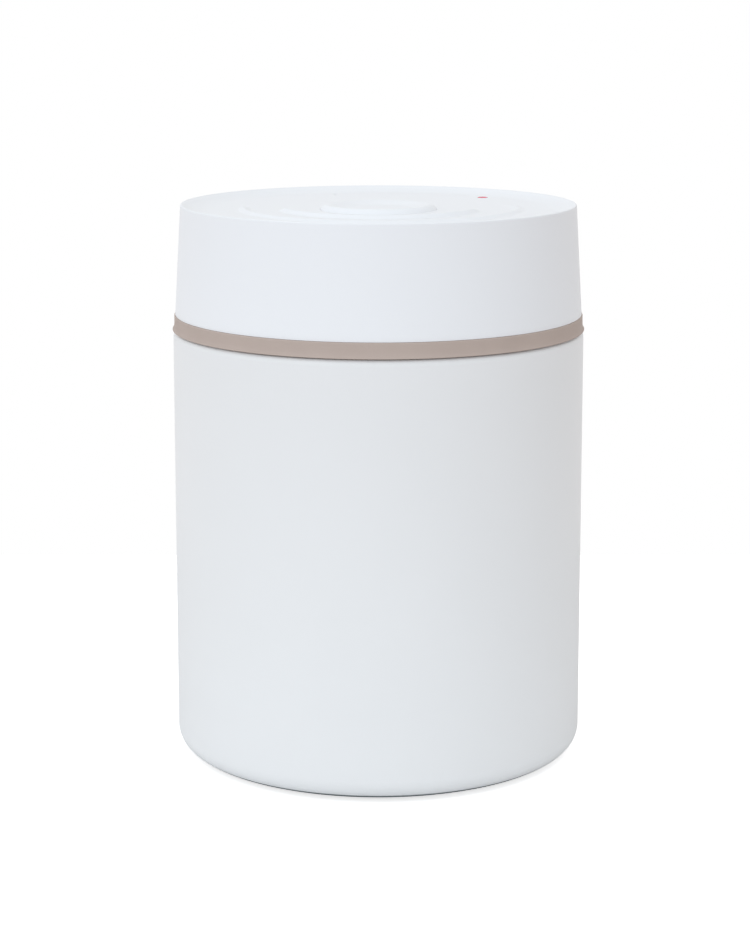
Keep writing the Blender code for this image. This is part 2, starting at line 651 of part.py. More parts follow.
CREST_SHARE = 0.88
THUMB_SHARE = 0.53
FLANK_STEPS = 3
THUMB_STEPS = 3
CREST_DROP = 0.0003
THUMB_DROP = 0.0014
BUTTON_FLANGE_WIDTH = 0.0016
BUTTON_FLANGE_THICKNESS = 0.0013
PRESS_RING_RADIUS = 0.0100
PRESS_RING_WIDTH = 0.0016
PRESS_RING_BOTTOM = BOARD_TOP + GAP + 2 * BUTTON_TRAVEL
DOME_FOOT_RADIUS = 0.0148
DOME_WALL = 0.0010
DOME_RIM = 0.0012
PIN_TOP_DROP = 0.0027
PIN_TOP = BOARD_BOTTOM - PIN_TOP_DROP
PIN_COLLAR_RADIUS = 0.0062
PIN_COLLAR_THICKNESS = 0.0012
PIN_COLLAR_DROP = 0.0035
PIN_HEAD_RADIUS = 0.0052
PIN_HEAD_THICKNESS = 0.0012
RELEASE_SEAL_THICKNESS = 0.0010
RELEASE_SEAL_WIDTH = 0.0024
SPRING_WIRE = 0.0006
SPRING_TURNS = 5
SPRING_POINTS = 8
SPRING_SIDES = 4


def build_button_cap():
    """Round push button: a soft crest round a thumb dish, a snap flange and a long stem."""
    crest = CREST_SHARE * BUTTON_RADIUS
    crest_z = RIM_LEVEL - CREST_DROP
    dish_z = RIM_LEVEL - THUMB_DROP
    flange_top = COVER_UNDERSIDE - HOLE_COLLAR_DEPTH - GAP
    flange_low = flange_top - BUTTON_FLANGE_THICKNESS
    inside = BUTTON_RADIUS - BUTTON_WALL
    ceiling = dish_z - BUTTON_WALL
    profile = [(0, PIN_TOP + GAP), (STEM_RADIUS, PIN_TOP + GAP), (STEM_RADIUS, ceiling)]
    ring_in = PRESS_RING_RADIUS - PRESS_RING_WIDTH / 2
    ring_out = PRESS_RING_RADIUS + PRESS_RING_WIDTH / 2
    profile += [(ring_in, ceiling), (ring_in, PRESS_RING_BOTTOM + GAP)]
    profile += [(ring_out, PRESS_RING_BOTTOM + GAP), (ring_out, ceiling)]
    profile += [(inside, ceiling), (inside, flange_low)]
    profile += [(BUTTON_RADIUS + BUTTON_FLANGE_WIDTH, flange_low)]
    profile += [(BUTTON_RADIUS + BUTTON_FLANGE_WIDTH, flange_top), (BUTTON_RADIUS, flange_top)]
    profile += [(BUTTON_RADIUS, DISH_LEVEL)]
    for step in range(1, FLANK_STEPS + 1):
        share = step / FLANK_STEPS
        ease = math.sin(share * math.pi / 2)
        radius = BUTTON_RADIUS - share * (BUTTON_RADIUS - crest)
        profile.append((radius, DISH_LEVEL + ease * (crest_z - DISH_LEVEL)))
    flat = THUMB_SHARE * BUTTON_RADIUS
    for step in range(1, THUMB_STEPS + 1):
        share = step / THUMB_STEPS
        ease = share * share * (3 - 2 * share)
        profile.append((crest + share * (flat - crest), crest_z + ease * (dish_z - crest_z)))
    profile.append((0, dish_z))
    button = turned("button_cap", profile, MIDDLE_SIDES)
    dress(button, WHITE_PLASTIC)


def build_button_dome():
    """Silicone dome ring on the board: it returns the button and closes its contacts."""
    foot = BOARD_TOP + GAP
    top_in = PRESS_RING_RADIUS - DOME_RIM
    top_out = PRESS_RING_RADIUS + DOME_RIM
    shoulder = PRESS_RING_BOTTOM - DOME_WALL
    profile = [
        (DOME_FOOT_RADIUS - DOME_RIM, foot), (DOME_FOOT_RADIUS, foot),
        (DOME_FOOT_RADIUS, foot + DOME_WALL), (top_out, shoulder + DOME_WALL / 2),
        (top_out, PRESS_RING_BOTTOM), (top_in, PRESS_RING_BOTTOM), (top_in, shoulder),
        (DOME_FOOT_RADIUS - DOME_RIM, foot + DOME_WALL / 2),
    ]
    dome = turned("button_dome", profile, MIDDLE_SIDES)
    dress(dome, DARK_RUBBER)


def build_release_valve():
    """Spring-loaded pin whose head and washer close the vent hole from below."""
    seal_top = PLUG_BOTTOM - GAP
    seal_low = seal_top - RELEASE_SEAL_THICKNESS
    head_top = seal_low - GAP
    head_low = head_top - PIN_HEAD_THICKNESS
    collar_top = PIN_TOP - PIN_COLLAR_DROP
    collar_low = collar_top - PIN_COLLAR_THICKNESS
    chamfer = PIN_HEAD_THICKNESS / 3
    profile = [
        (0, head_low), (PIN_HEAD_RADIUS - chamfer, head_low), (PIN_HEAD_RADIUS, head_low + chamfer),
        (PIN_HEAD_RADIUS, head_top), (PIN_RADIUS, head_top), (PIN_RADIUS, collar_low),
        (PIN_COLLAR_RADIUS, collar_low), (PIN_COLLAR_RADIUS, collar_top), (PIN_RADIUS, collar_top),
        (PIN_RADIUS, PIN_TOP), (0, PIN_TOP),
    ]
    dress(turned("release_pin", profile, SMALL_SIDES), GREY_PLASTIC)
    seal_in = PIN_RADIUS + GAP
    seal_out = seal_in + RELEASE_SEAL_WIDTH
    washer = [(seal_in, seal_low), (seal_out, seal_low), (seal_out, seal_top), (seal_in, seal_top)]
    dress(turned("release_seal", washer, SMALL_SIDES), DARK_RUBBER)
    build_release_spring(collar_low)


def sweep(bm, points, radius, sides):
    """A round tube along the points, its ring turned as little as possible between them."""
    rings = []
    side = None
    for index, point in enumerate(points):
        ahead = points[min(index + 1, len(points) - 1)] - points[max(index - 1, 0)]
        ahead.normalize()
        if side is None:
            side = ahead.orthogonal().normalized()
        side = (side - ahead * side.dot(ahead)).normalized()
        up = ahead.cross(side)
        ring = []
        for corner in range(sides):
            turn = 2 * math.pi * corner / sides
            ring.append(bm.verts.new(point + radius * (side * math.cos(turn) + up * math.sin(turn))))
        rings.append(ring)
    for low, high in zip(rings, rings[1:]):
        for corner in range(sides):
            after = (corner + 1) % sides
            bm.faces.new((low[corner], low[after], high[after], high[corner]))
    return rings


def solid_tube(bm, points, radius, sides):
    """A tube closed by a flat face at each end."""
    rings = sweep(bm, points, radius, sides)
    bm.faces.new(rings[0])
    bm.faces.new(rings[-1])


def hollow_tube(bm, points, radius, bore, sides):
    """A tube with a bore right through."""
    outer = sweep(bm, points, radius, sides)
    inner = sweep(bm, points, bore, sides)
    for end in (0, -1):
        for corner in range(sides):
            after = (corner + 1) % sides
            bm.faces.new((outer[end][corner], outer[end][after], inner[end][after], inner[end][corner]))


def build_release_spring(collar_low):
    """Coil spring between the tray's floor and the pin's collar."""
    mean = PIN_RADIUS + 2 * GAP + TUBE_WALL + GAP + SPRING_WIRE / 2
    low = FLOOR_LEVEL + GAP + SPRING_WIRE / 2
    high = collar_low - GAP - SPRING_WIRE / 2
    count = SPRING_TURNS * SPRING_POINTS
    points = []
    for step in range(count + 1):
        share = step / count
        climb = min(1, max(0, (share * SPRING_TURNS - 1 / 2) / (SPRING_TURNS - 1)))
        from_start = min(share * SPRING_TURNS, 1 / 2)
        to_end = min((1 - share) * SPRING_TURNS, 1 / 2)
        flat_end = SPRING_WIRE * (from_start + 1 / 2 - to_end)
        height = low + flat_end + climb * (high - low - SPRING_WIRE)
        points.append(polar(mean, 360 * SPRING_TURNS * share, height))
    bm = bmesh.new()
    solid_tube(bm, points, SPRING_WIRE / 2, SPRING_SIDES)
    dress(place("release_spring", bm), PLATED_STEEL)


# The diaphragm pump

MOTOR_BOSS_RADIUS = 0.0030
MOTOR_BOSS_LENGTH = 0.0012
MOTOR_EDGE = 0.0010
SHAFT_RADIUS = 0.0010
SHAFT_DEPTH = 0.0050
CASE_WALL = 0.0015
CASE_FLOOR = 0.0015
WINDOW_HEIGHT = 0.0070
HUB_RADIUS = 0.0046
HUB_LENGTH = 0.0035
CRANK_OFFSET = 0.0030
CRANK_PIN_RADIUS = 0.0008
CRANK_PIN_LENGTH = 0.0012
CUP_RADIUS = 0.0024
CUP_DEPTH = 0.0012
CUPS = 3
BORE_SHARE = 0.5
PUMP_AXIS = (1, 0, 0)


def build_motor():
    """Round motor can with a bearing boss at each end and a bore for the shaft."""
    back_boss = MOTOR_BOSS_LENGTH
    profile = [
        (0, -back_boss), (MOTOR_BOSS_RADIUS, -back_boss), (MOTOR_BOSS_RADIUS, 0),
        (MOTOR_RADIUS - MOTOR_EDGE, 0), (MOTOR_RADIUS, MOTOR_EDGE),
        (MOTOR_RADIUS, MOTOR_LENGTH - MOTOR_EDGE), (MOTOR_RADIUS - MOTOR_EDGE, MOTOR_LENGTH),
        (MOTOR_BOSS_RADIUS, MOTOR_LENGTH), (MOTOR_BOSS_RADIUS, MOTOR_LENGTH + MOTOR_BOSS_LENGTH),
        (SHAFT_RADIUS + GAP, MOTOR_LENGTH + MOTOR_BOSS_LENGTH),
        (SHAFT_RADIUS + GAP, MOTOR_LENGTH + MOTOR_BOSS_LENGTH - SHAFT_DEPTH),
        (0, MOTOR_LENGTH + MOTOR_BOSS_LENGTH - SHAFT_DEPTH),
    ]
    motor = turned("motor", profile, MIDDLE_SIDES, (MOTOR_BACK, PUMP_Y, PUMP_Z), PUMP_AXIS)
    dress(motor, PLATED_STEEL)


def build_crank():
    """Motor shaft with its hub and the offset pin that works the diaphragm."""
    hub_start = CASE_FLOOR + GAP + GAP
    start = MOTOR_BOSS_LENGTH + GAP - SHAFT_DEPTH
    profile = [
        (0, start), (SHAFT_RADIUS, start), (SHAFT_RADIUS, hub_start), (HUB_RADIUS, hub_start),
        (HUB_RADIUS, hub_start + HUB_LENGTH), (0, hub_start + HUB_LENGTH),
    ]
    crank = turned("crank", profile, SMALL_SIDES, (MOTOR_FRONT, PUMP_Y, PUMP_Z), PUMP_AXIS)
    bm = bmesh.new()
    face = Vector((MOTOR_FRONT + hub_start + HUB_LENGTH, PUMP_Y, PUMP_Z + CRANK_OFFSET))
    back = face - Vector((OVERRUN, 0, 0))
    add_rod(bm, back, face + Vector((CRANK_PIN_LENGTH, 0, 0)), CRANK_PIN_RADIUS)
    combine(crank, helper("crank_pin", bm), "UNION")
    dress(crank, PLATED_STEEL)


def build_crankcase():
    """Cup screwed to the motor's face, open at the sides over the crank."""
    hole = MOTOR_BOSS_RADIUS + GAP
    inside = MOTOR_RADIUS - CASE_WALL
    profile = [
        (hole, 0), (MOTOR_RADIUS, 0), (MOTOR_RADIUS, CRANKCASE_LENGTH),
        (inside, CRANKCASE_LENGTH), (inside, CASE_FLOOR), (hole, CASE_FLOOR),
    ]
    case = turned("crankcase", profile, MIDDLE_SIDES, (CRANKCASE_BACK, PUMP_Y, PUMP_Z), PUMP_AXIS)
    bm = bmesh.new()
    margin = CASE_FLOOR + CASE_WALL / 2
    low = (CRANKCASE_BACK + margin, PUMP_Y - MOTOR_RADIUS - OVERRUN, PUMP_Z - WINDOW_HEIGHT / 2)
    high = (CRANKCASE_FRONT - margin, PUMP_Y + MOTOR_RADIUS + OVERRUN, PUMP_Z + WINDOW_HEIGHT / 2)
    add_block(bm, low, high)
    combine(case, helper("crankcase_windows", bm), "DIFFERENCE")
    dress(case, BLACK_PLASTIC)


def build_diaphragm():
    """Rubber sheet with its pumping cups, clamped between crankcase and head."""
    profile = [
        (0, 0), (MOTOR_RADIUS, 0), (MOTOR_RADIUS, DIAPHRAGM_THICKNESS), (0, DIAPHRAGM_THICKNESS),
    ]
    place_at = (DIAPHRAGM_BACK, PUMP_Y, PUMP_Z)
    sheet = turned("pump_diaphragm", profile, MIDDLE_SIDES, place_at, PUMP_AXIS)
    bm = bmesh.new()
    for cup in range(CUPS):
        spoke = polar((MOTOR_RADIUS - CASE_WALL) / 2, 360 * cup / CUPS)
        face = Vector((DIAPHRAGM_BACK, PUMP_Y + spoke.x, PUMP_Z + spoke.y))
        tip = face - Vector((CUP_DEPTH, 0, 0))
        add_rod(bm, tip, face + Vector((DIAPHRAGM_THICKNESS / 2, 0, 0)), CUP_RADIUS)
    combine(sheet, helper("pump_diaphragm_cups", bm), "UNION")
    dress(sheet, DARK_RUBBER)


def build_pump_head():
    """Valve head with the suction nozzle on its face."""
    bore = BORE_SHARE * NOZZLE_RADIUS
    step = HEAD_LENGTH / 4
    barb = NOZZLE_RADIUS + GAP / 2
    profile = [
        (0, 0), (MOTOR_RADIUS, 0), (MOTOR_RADIUS, HEAD_LENGTH - step),
        (MOTOR_RADIUS - step, HEAD_LENGTH), (NOZZLE_RADIUS, HEAD_LENGTH),
        (NOZZLE_RADIUS, HEAD_LENGTH + NOZZLE_LENGTH / 2), (barb, HEAD_LENGTH + NOZZLE_LENGTH / 2),
        (bore + (barb - bore) / 2, HEAD_LENGTH + NOZZLE_LENGTH), (bore, HEAD_LENGTH + NOZZLE_LENGTH),
        (bore, HEAD_LENGTH - step), (0, HEAD_LENGTH - step),
    ]
    head = turned("pump_head", profile, MIDDLE_SIDES, (HEAD_BACK, PUMP_Y, PUMP_Z), PUMP_AXIS)
    dress(head, BLACK_PLASTIC)


def build_pump_clamp():
    """Arched strap over the motor, with a screw tab at each foot."""
    inner = MOTOR_RADIUS + GAP
    outer = inner + CLAMP_WALL
    reach = outer + TAB_LENGTH
    start = CLAMP_X - CLAMP_WIDTH / 2
    rise = math.degrees(math.asin(TAB_THICKNESS / outer))
    section = [(inner, 0), (reach, 0), (reach, TAB_THICKNESS)]
    section += arc(0, 0, outer, rise, 180 - rise, 8)
    section += [(-reach, TAB_THICKNESS), (-reach, 0), (-inner, 0)]
    section += arc(0, 0, inner, 180, 0, 8)[1:-1]
    bm = bmesh.new()
    outline = [(start, PUMP_Y + across, PUMP_Z + up) for across, up in section]
    add_prism(bm, outline, (CLAMP_WIDTH, 0, 0))
    clamp = place("pump_clamp", bm)
    holes = bmesh.new()
    for side in (-1, 1):
        low = Vector((CLAMP_X, PUMP_Y + side * CLAMP_POST_OFFSET, PUMP_Z - OVERRUN))
        high = low + Vector((0, 0, TAB_THICKNESS + 2 * OVERRUN))
        add_rod(holes, low, high, SCREW_SHANK_RADIUS + GAP)
    combine(clamp, helper("pump_clamp_holes", holes), "DIFFERENCE")
    dress(clamp, PLATED_STEEL)


# The suction line: hose, valve cap, umbrella valve and inlet filter

HOSE_BORE = NOZZLE_RADIUS + GAP
HOSE_RADIUS = 0.0022
HOSE_SIDES = 8
HOSE_ARC_STEPS = 6
CHAMBER_RADIUS = 0.0044
CHAMBER_HEIGHT = 0.0014
VALVE_CAP_HEIGHT = 0.0022
UMBRELLA_RADIUS = 0.0038
UMBRELLA_THICKNESS = 0.0007
BULB_RADIUS = 0.0014
BULB_HEIGHT = 0.0009
FILTER_RADIUS = 0.0066
FILTER_WALL = 0.0009
FILTER_FLOOR = 0.0009
FILTER_SHEET = 0.0008
FILTER_HOLE_RADIUS = 0.0009
FILTER_HOLES = 6
BARB_HEIGHT = 0.0028
HOSE_END = FLOOR_LEVEL + GAP + VALVE_CAP_HEIGHT + GAP


def build_suction_hose():
    """Short silicone hose from the pump's nozzle down to the valve cap's barb."""
    start = Vector((HEAD_FRONT + GAP, PUMP_Y, PUMP_Z))
    points = [start]
    centre = (VALVE_X - HOSE_BEND, PUMP_Z - HOSE_BEND)
    for x, z in arc(*centre, HOSE_BEND, 90, 0, HOSE_ARC_STEPS):
        points.append(Vector((x, PUMP_Y, z)))
    points.append(Vector((VALVE_X, PUMP_Y, HOSE_END)))
    bm = bmesh.new()
    hollow_tube(bm, points, HOSE_RADIUS, HOSE_BORE, HOSE_SIDES)
    dress(place("suction_hose", bm), CLEAR_SILICONE)


def build_suction_valve():
    """Umbrella valve over the floor's flow holes, and the barbed cap that covers it."""
    bore = BORE_SHARE * NOZZLE_RADIUS
    top = VALVE_CAP_HEIGHT
    tip = top + BARB_HEIGHT
    cap = [
        (CHAMBER_RADIUS, 0), (VALVE_CAP_RADIUS, 0), (VALVE_CAP_RADIUS, top / 2),
        (CHAMBER_RADIUS, top), (NOZZLE_RADIUS, top), (NOZZLE_RADIUS, tip), (bore, tip),
        (bore, CHAMBER_HEIGHT), (CHAMBER_RADIUS, CHAMBER_HEIGHT),
    ]
    seat = (VALVE_X, PUMP_Y, FLOOR_LEVEL + GAP)
    dress(turned("valve_cap", cap, SMALL_SIDES, seat), GREY_PLASTIC)
    bulb_top = PLUG_BOTTOM - GAP - FLOOR_LEVEL - GAP
    umbrella = [
        (0, bulb_top - BULB_HEIGHT), (BULB_RADIUS / 2, bulb_top - BULB_HEIGHT),
        (BULB_RADIUS, bulb_top), (VALVE_STEM_RADIUS, bulb_top), (VALVE_STEM_RADIUS, 0),
        (UMBRELLA_RADIUS, 0), (UMBRELLA_RADIUS / 2, UMBRELLA_THICKNESS), (0, UMBRELLA_THICKNESS),
    ]
    dress(turned("check_valve", umbrella, SMALL_SIDES, seat), CLEAR_SILICONE)


def build_inlet_filter():
    """Pierced cup snapped under the tray, with a fine steel sheet lying in it."""
    top = PLUG_BOTTOM - GAP
    sheet_top = top - BULB_HEIGHT - GAP
    sheet_low = sheet_top - FILTER_SHEET
    cup_low = sheet_low - GAP - FILTER_FLOOR
    outer = FILTER_RADIUS + GAP + FILTER_WALL
    inner = FILTER_RADIUS + GAP
    edge = FILTER_FLOOR / 2
    cup = [
        (0, cup_low), (outer - edge, cup_low), (outer, cup_low + edge), (outer, top),
        (inner, top), (inner, cup_low + FILTER_FLOOR), (0, cup_low + FILTER_FLOOR),
    ]
    centre = (VALVE_X, PUMP_Y, 0)
    cage = turned("filter_cap", cup, SMALL_SIDES, centre)
    bm = bmesh.new()
    for hole in range(FILTER_HOLES):
        spot = Vector(centre) + polar(FILTER_RADIUS / 2, 360 * hole / FILTER_HOLES, cup_low - OVERRUN)
        high = spot + Vector((0, 0, FILTER_FLOOR + 2 * OVERRUN))
        add_rod(bm, spot, high, FILTER_HOLE_RADIUS)
    combine(cage, helper("filter_cap_holes", bm), "DIFFERENCE")
    dress(cage, GREY_PLASTIC)
    sheet = [(0, sheet_low), (FILTER_RADIUS, sheet_low), (FILTER_RADIUS, sheet_top), (0, sheet_top)]
    dress(turned("filter_sheet", sheet, SMALL_SIDES, centre), BRUSHED_STEEL)


# The battery, the board and what is on it

CELL_EDGE = 0.0008
CELL_NUB_RADIUS = 0.0027
CELL_NUB_LENGTH = 0.0010
PAD_WIDTH = 0.0080
PAD_LENGTH_SHARE = 0.55
BOARD_MARGIN = 0.0040
BOARD_RADIUS = SKIRT_RADIUS - COVER_WALL - LID_DRAFT - BOARD_MARGIN
STEM_CLEARANCE = 0.0015
STEM_HOLE_RADIUS = STEM_RADIUS + STEM_CLEARANCE
TONGUE_WIDTH = 0.0120
TONGUE_LENGTH = 0.0022
BOARD_SCREW_LENGTH = 0.0060
CLAMP_SCREW_LENGTH = 0.0055
PORT_DEPTH = 0.0073
PORT_SKIN = 0.0003
PORT_BACK = 0.0012
TONGUE_SETBACK = 0.0012
PORT_SETBACK = 0.0008
PORT_FACE = RIM_RADIUS - PORT_SETBACK
TONGUE_PLATE_WIDTH_SHARE = 0.78
TONGUE_PLATE_HEIGHT_SHARE = 0.24
LAMP_BASE = 0.0003
LAMP_BODY = 0.0016
PIPE_FLANGE_WIDTH = 0.0008
PIPE_FLANGE_RADIUS = LAMP_RADIUS + PIPE_FLANGE_WIDTH
PIPE_FLANGE = 0.0012
LEAD_RADIUS = 0.0006
LEAD_SIDES = 6
LEAD_STEPS = 10


def build_battery():
    """Round lithium cell lying on a foam pad between the tray's ribs."""
    profile = [
        (0, 0), (CELL_RADIUS - CELL_EDGE, 0), (CELL_RADIUS, CELL_EDGE),
        (CELL_RADIUS, CELL_LENGTH - CELL_NUB_LENGTH - CELL_EDGE),
        (CELL_RADIUS - CELL_EDGE, CELL_LENGTH - CELL_NUB_LENGTH),
        (CELL_NUB_RADIUS, CELL_LENGTH - CELL_NUB_LENGTH), (CELL_NUB_RADIUS, CELL_LENGTH),
        (0, CELL_LENGTH),
    ]
    cell = turned("battery_cell", profile, SMALL_SIDES, (-CELL_REACH, CELL_Y, CELL_Z), PUMP_AXIS)
    dress(cell, CELL_SLEEVE)
    bm = bmesh.new()
    half = PAD_LENGTH_SHARE * CELL_LENGTH / 2
    low = (-half, CELL_Y - PAD_WIDTH / 2, FLOOR_LEVEL + GAP)
    high = (half, CELL_Y + PAD_WIDTH / 2, FLOOR_LEVEL + GAP + PAD_THICKNESS)
    add_block(bm, low, high)
    dress(place("battery_pad", bm), FOAM)


def build_board():
    """Round board with a tongue for the charging socket and a hole for the button's stem."""
    half = TONGUE_WIDTH / 2
    edge = math.degrees(math.asin(half / BOARD_RADIUS))
    rim = arc(0, 0, BOARD_RADIUS, 90 + edge, 450 - edge, MIDDLE_SIDES)
    front = BOARD_RADIUS + TONGUE_LENGTH
    outline = [(x, y, BOARD_BOTTOM) for x, y in rim + [(half, front), (-half, front)]]
    bm = bmesh.new()
    add_prism(bm, outline, (0, 0, BOARD_THICKNESS))
    board = place("circuit_board", bm)
    cuts = bmesh.new()
    low = Vector((0, 0, BOARD_BOTTOM - OVERRUN))
    through = Vector((0, 0, BOARD_THICKNESS + 2 * OVERRUN))
    add_rod(cuts, low, low + through, STEM_HOLE_RADIUS, SMALL_SIDES)
    for angle in POST_ANGLES:
        spot = low + polar(POST_CIRCLE_SHARE * TRAY_INNER_RADIUS, angle)
        add_rod(cuts, spot, spot + through, SCREW_SHANK_RADIUS + GAP)
    combine(board, helper("circuit_board_holes", cuts), "DIFFERENCE")
    dress(board, BOARD_LACQUER)


def build_charge_socket():
    """Charging socket: a thin steel shell round a contact tongue, open to the rear."""
    bm = bmesh.new()
    centre = (0, PORT_FACE - PORT_DEPTH, PORT_LEVEL)
    add_prism(bm, slot_outline(PORT_WIDTH, PORT_HEIGHT, centre), (0, PORT_DEPTH, 0))
    socket = place("charge_socket", bm)
    hollow = bmesh.new()
    inset = (0, centre[1] + PORT_BACK, PORT_LEVEL)
    width = PORT_WIDTH - 2 * PORT_SKIN
    height = PORT_HEIGHT - 2 * PORT_SKIN
    add_prism(hollow, slot_outline(width, height, inset), (0, PORT_DEPTH, 0))
    combine(socket, helper("charge_socket_hollow", hollow), "DIFFERENCE")
    tongue = bmesh.new()
    half_width = TONGUE_PLATE_WIDTH_SHARE * width / 2
    half_height = TONGUE_PLATE_HEIGHT_SHARE * height / 2
    low = (-half_width, centre[1] + PORT_SKIN, PORT_LEVEL - half_height)
    high = (half_width, PORT_FACE - TONGUE_SETBACK, PORT_LEVEL + half_height)
    add_block(tongue, low, high)
    combine(socket, helper("charge_socket_tongue", tongue), "UNION")
    dress(socket, PLATED_STEEL)


def build_lamp():
    """Indicator lamp on the board and the red light pipe that shows in the dish."""
    foot = polar(LAMP_CIRCLE, LAMP_ANGLE, BOARD_TOP + GAP)
    dome = [
        (0, 0), (LAMP_RADIUS + LAMP_BASE, 0), (LAMP_RADIUS + LAMP_BASE, LAMP_BASE),
        (LAMP_RADIUS, LAMP_BASE), (LAMP_RADIUS, LAMP_BODY),
        (LAMP_RADIUS / 2, LAMP_BODY + LAMP_RADIUS / 2), (0, LAMP_BODY + LAMP_RADIUS / 2),
    ]
    dress(turned("status_lamp", dome, TINY_SIDES, foot), CLEAR_PLASTIC)
    bottom = foot.z + LAMP_BODY + LAMP_RADIUS / 2 + GAP
    flange_top = COVER_UNDERSIDE - GAP
    pipe = [
        (0, bottom), (LAMP_RADIUS, bottom), (LAMP_RADIUS, flange_top - PIPE_FLANGE),
        (PIPE_FLANGE_RADIUS, flange_top - PIPE_FLANGE), (PIPE_FLANGE_RADIUS, flange_top),
        (LAMP_RADIUS, flange_top), (LAMP_RADIUS, DISH_LEVEL), (0, DISH_LEVEL),
    ]
    axis = polar(LAMP_CIRCLE, LAMP_ANGLE)
    dress(turned("lamp_window", pipe, SMALL_SIDES, axis), RED_WINDOW)


def build_leads():
    """Leads from the cell and the motor up to the board's underside."""
    rise = BOARD_BOTTOM - GAP
    cell_end = Vector((CELL_REACH + GAP, CELL_Y, CELL_Z))
    motor_end = Vector((MOTOR_BACK - GAP, PUMP_Y - (MOTOR_BOSS_RADIUS + MOTOR_RADIUS) / 2, PUMP_Z))
    for name, foot, out in (("battery_lead", cell_end, 1), ("motor_lead", motor_end, -1)):
        reach = Vector((out * MOTOR_BOSS_RADIUS, 0, 0))
        top = Vector((foot.x + reach.x, foot.y * POST_CIRCLE_SHARE, rise))
        controls = (foot, foot + 2 * reach, top - Vector((0, 0, MOTOR_BOSS_RADIUS)), top)
        points = []
        for step in range(LEAD_STEPS + 1):
            t = step / LEAD_STEPS
            weights = ((1 - t) ** 3, 3 * t * (1 - t) ** 2, 3 * t * t * (1 - t), t ** 3)
            points.append(sum((w * c for w, c in zip(weights, controls)), Vector()))
        bm = bmesh.new()
        solid_tube(bm, points, LEAD_RADIUS, LEAD_SIDES)
        dress(place(name, bm), LEAD_SLEEVE)


# Screws

SCREW_SIDES = 8


def build_screw(name, under_head, direction, length):
    """Pan-head screw; under_head is the point where the head seats."""
    tip = SCREW_SHANK_RADIUS / 2
    profile = [
        (0, -SCREW_HEAD_HEIGHT / 2), (SCREW_HEAD_RADIUS / 3, -SCREW_HEAD_HEIGHT),
        (SCREW_HEAD_RADIUS - SCREW_HEAD_HEIGHT / 3, -SCREW_HEAD_HEIGHT),
        (SCREW_HEAD_RADIUS, -SCREW_HEAD_HEIGHT * 2 / 3), (SCREW_HEAD_RADIUS, 0),
        (SCREW_SHANK_RADIUS, 0), (SCREW_SHANK_RADIUS, length - tip), (0, length),
    ]
    dress(turned(name, profile, SCREW_SIDES, under_head, direction), PLATED_STEEL)


def build_screws():
    """Cover screws from below, board screws into the posts, clamp screws from above."""
    for number, angle in enumerate(COVER_SCREW_ANGLES, 1):
        seat = polar(SCREW_CIRCLE_RADIUS, angle, SKIRT_BOTTOM + SCREW_HEAD_HEIGHT)
        build_screw(f"cover_screw_{number}", seat, (0, 0, 1), COVER_SCREW_LENGTH)
    for number, angle in enumerate(POST_ANGLES, 1):
        seat = polar(POST_CIRCLE_SHARE * TRAY_INNER_RADIUS, angle, BOARD_BOTTOM - GAP)
        build_screw(f"board_screw_{number}", seat, (0, 0, 1), BOARD_SCREW_LENGTH)
    for number, side in enumerate((-1, 1), 1):
        level = PUMP_Z + TAB_THICKNESS + GAP
        seat = (CLAMP_X, PUMP_Y + side * CLAMP_POST_OFFSET, level)
        build_screw(f"clamp_screw_{number}", seat, (0, 0, -1), CLAMP_SCREW_LENGTH)


clear_scene()
build_outer_shell()
build_inner_liner()
build_base_cap()
build_foot_ring()
build_lid_cover()
build_seal_band()
build_lid_tray()
build_button_cap()
build_button_dome()
build_release_valve()
build_motor()
build_crank()
build_crankcase()
build_diaphragm()
build_pump_head()
build_pump_clamp()
build_suction_hose()
build_suction_valve()
build_inlet_filter()
build_battery()
build_board()
build_charge_socket()
build_lamp()
build_leads()
build_screws()
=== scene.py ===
import math

import bmesh
import bpy
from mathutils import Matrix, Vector


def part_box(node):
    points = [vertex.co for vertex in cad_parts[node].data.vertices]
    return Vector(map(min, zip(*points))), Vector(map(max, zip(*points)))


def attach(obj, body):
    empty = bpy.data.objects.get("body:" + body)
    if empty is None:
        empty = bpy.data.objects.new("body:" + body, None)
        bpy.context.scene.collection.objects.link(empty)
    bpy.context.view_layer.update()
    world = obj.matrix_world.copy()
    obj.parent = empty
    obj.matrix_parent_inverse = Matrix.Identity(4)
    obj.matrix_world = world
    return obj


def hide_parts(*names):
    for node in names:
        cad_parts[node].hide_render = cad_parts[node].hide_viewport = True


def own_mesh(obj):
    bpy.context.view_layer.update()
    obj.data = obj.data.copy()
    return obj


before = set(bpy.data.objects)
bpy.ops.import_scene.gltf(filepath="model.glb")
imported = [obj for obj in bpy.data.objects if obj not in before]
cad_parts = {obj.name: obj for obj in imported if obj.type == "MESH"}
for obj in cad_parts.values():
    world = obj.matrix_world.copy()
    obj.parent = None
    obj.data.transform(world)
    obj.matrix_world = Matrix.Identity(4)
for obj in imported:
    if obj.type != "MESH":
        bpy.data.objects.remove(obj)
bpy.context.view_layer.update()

# The outer shell
# Drawn steel jacket of the jar, given a satin white powder coat after forming. Its lower edge is
# rolled to a wide round and its top is turned in to the flat shoulder that the lid seals on.
# The round's lowest edge is painted dark grey, a thin line of painted shade.

for leftover in ("Cube", "Camera", "Light"):
    if leftover in bpy.data.objects:
        bpy.data.objects.remove(bpy.data.objects[leftover])

ROUND_SIDES = 288
SMOOTH_ANGLE = math.radians(32)
WELD = 0.0000005
# Height and blur of the painted shade: below this height the jar's lowest edge is coloured dark.
PAINTED_SHADE_LEVEL = 0.002
PAINTED_SHADE_BLUR = 0.0002


def linear(red, green, blue):
    """A screen colour of 0 to 255 as Blender's linear colour."""
    parts = []
    for value in (red, green, blue):
        share = value / 255
        parts.append(share / 12.92 if share <= 0.04045 else ((share + 0.055) / 1.055) ** 2.4)
    return (*parts, 1.0)


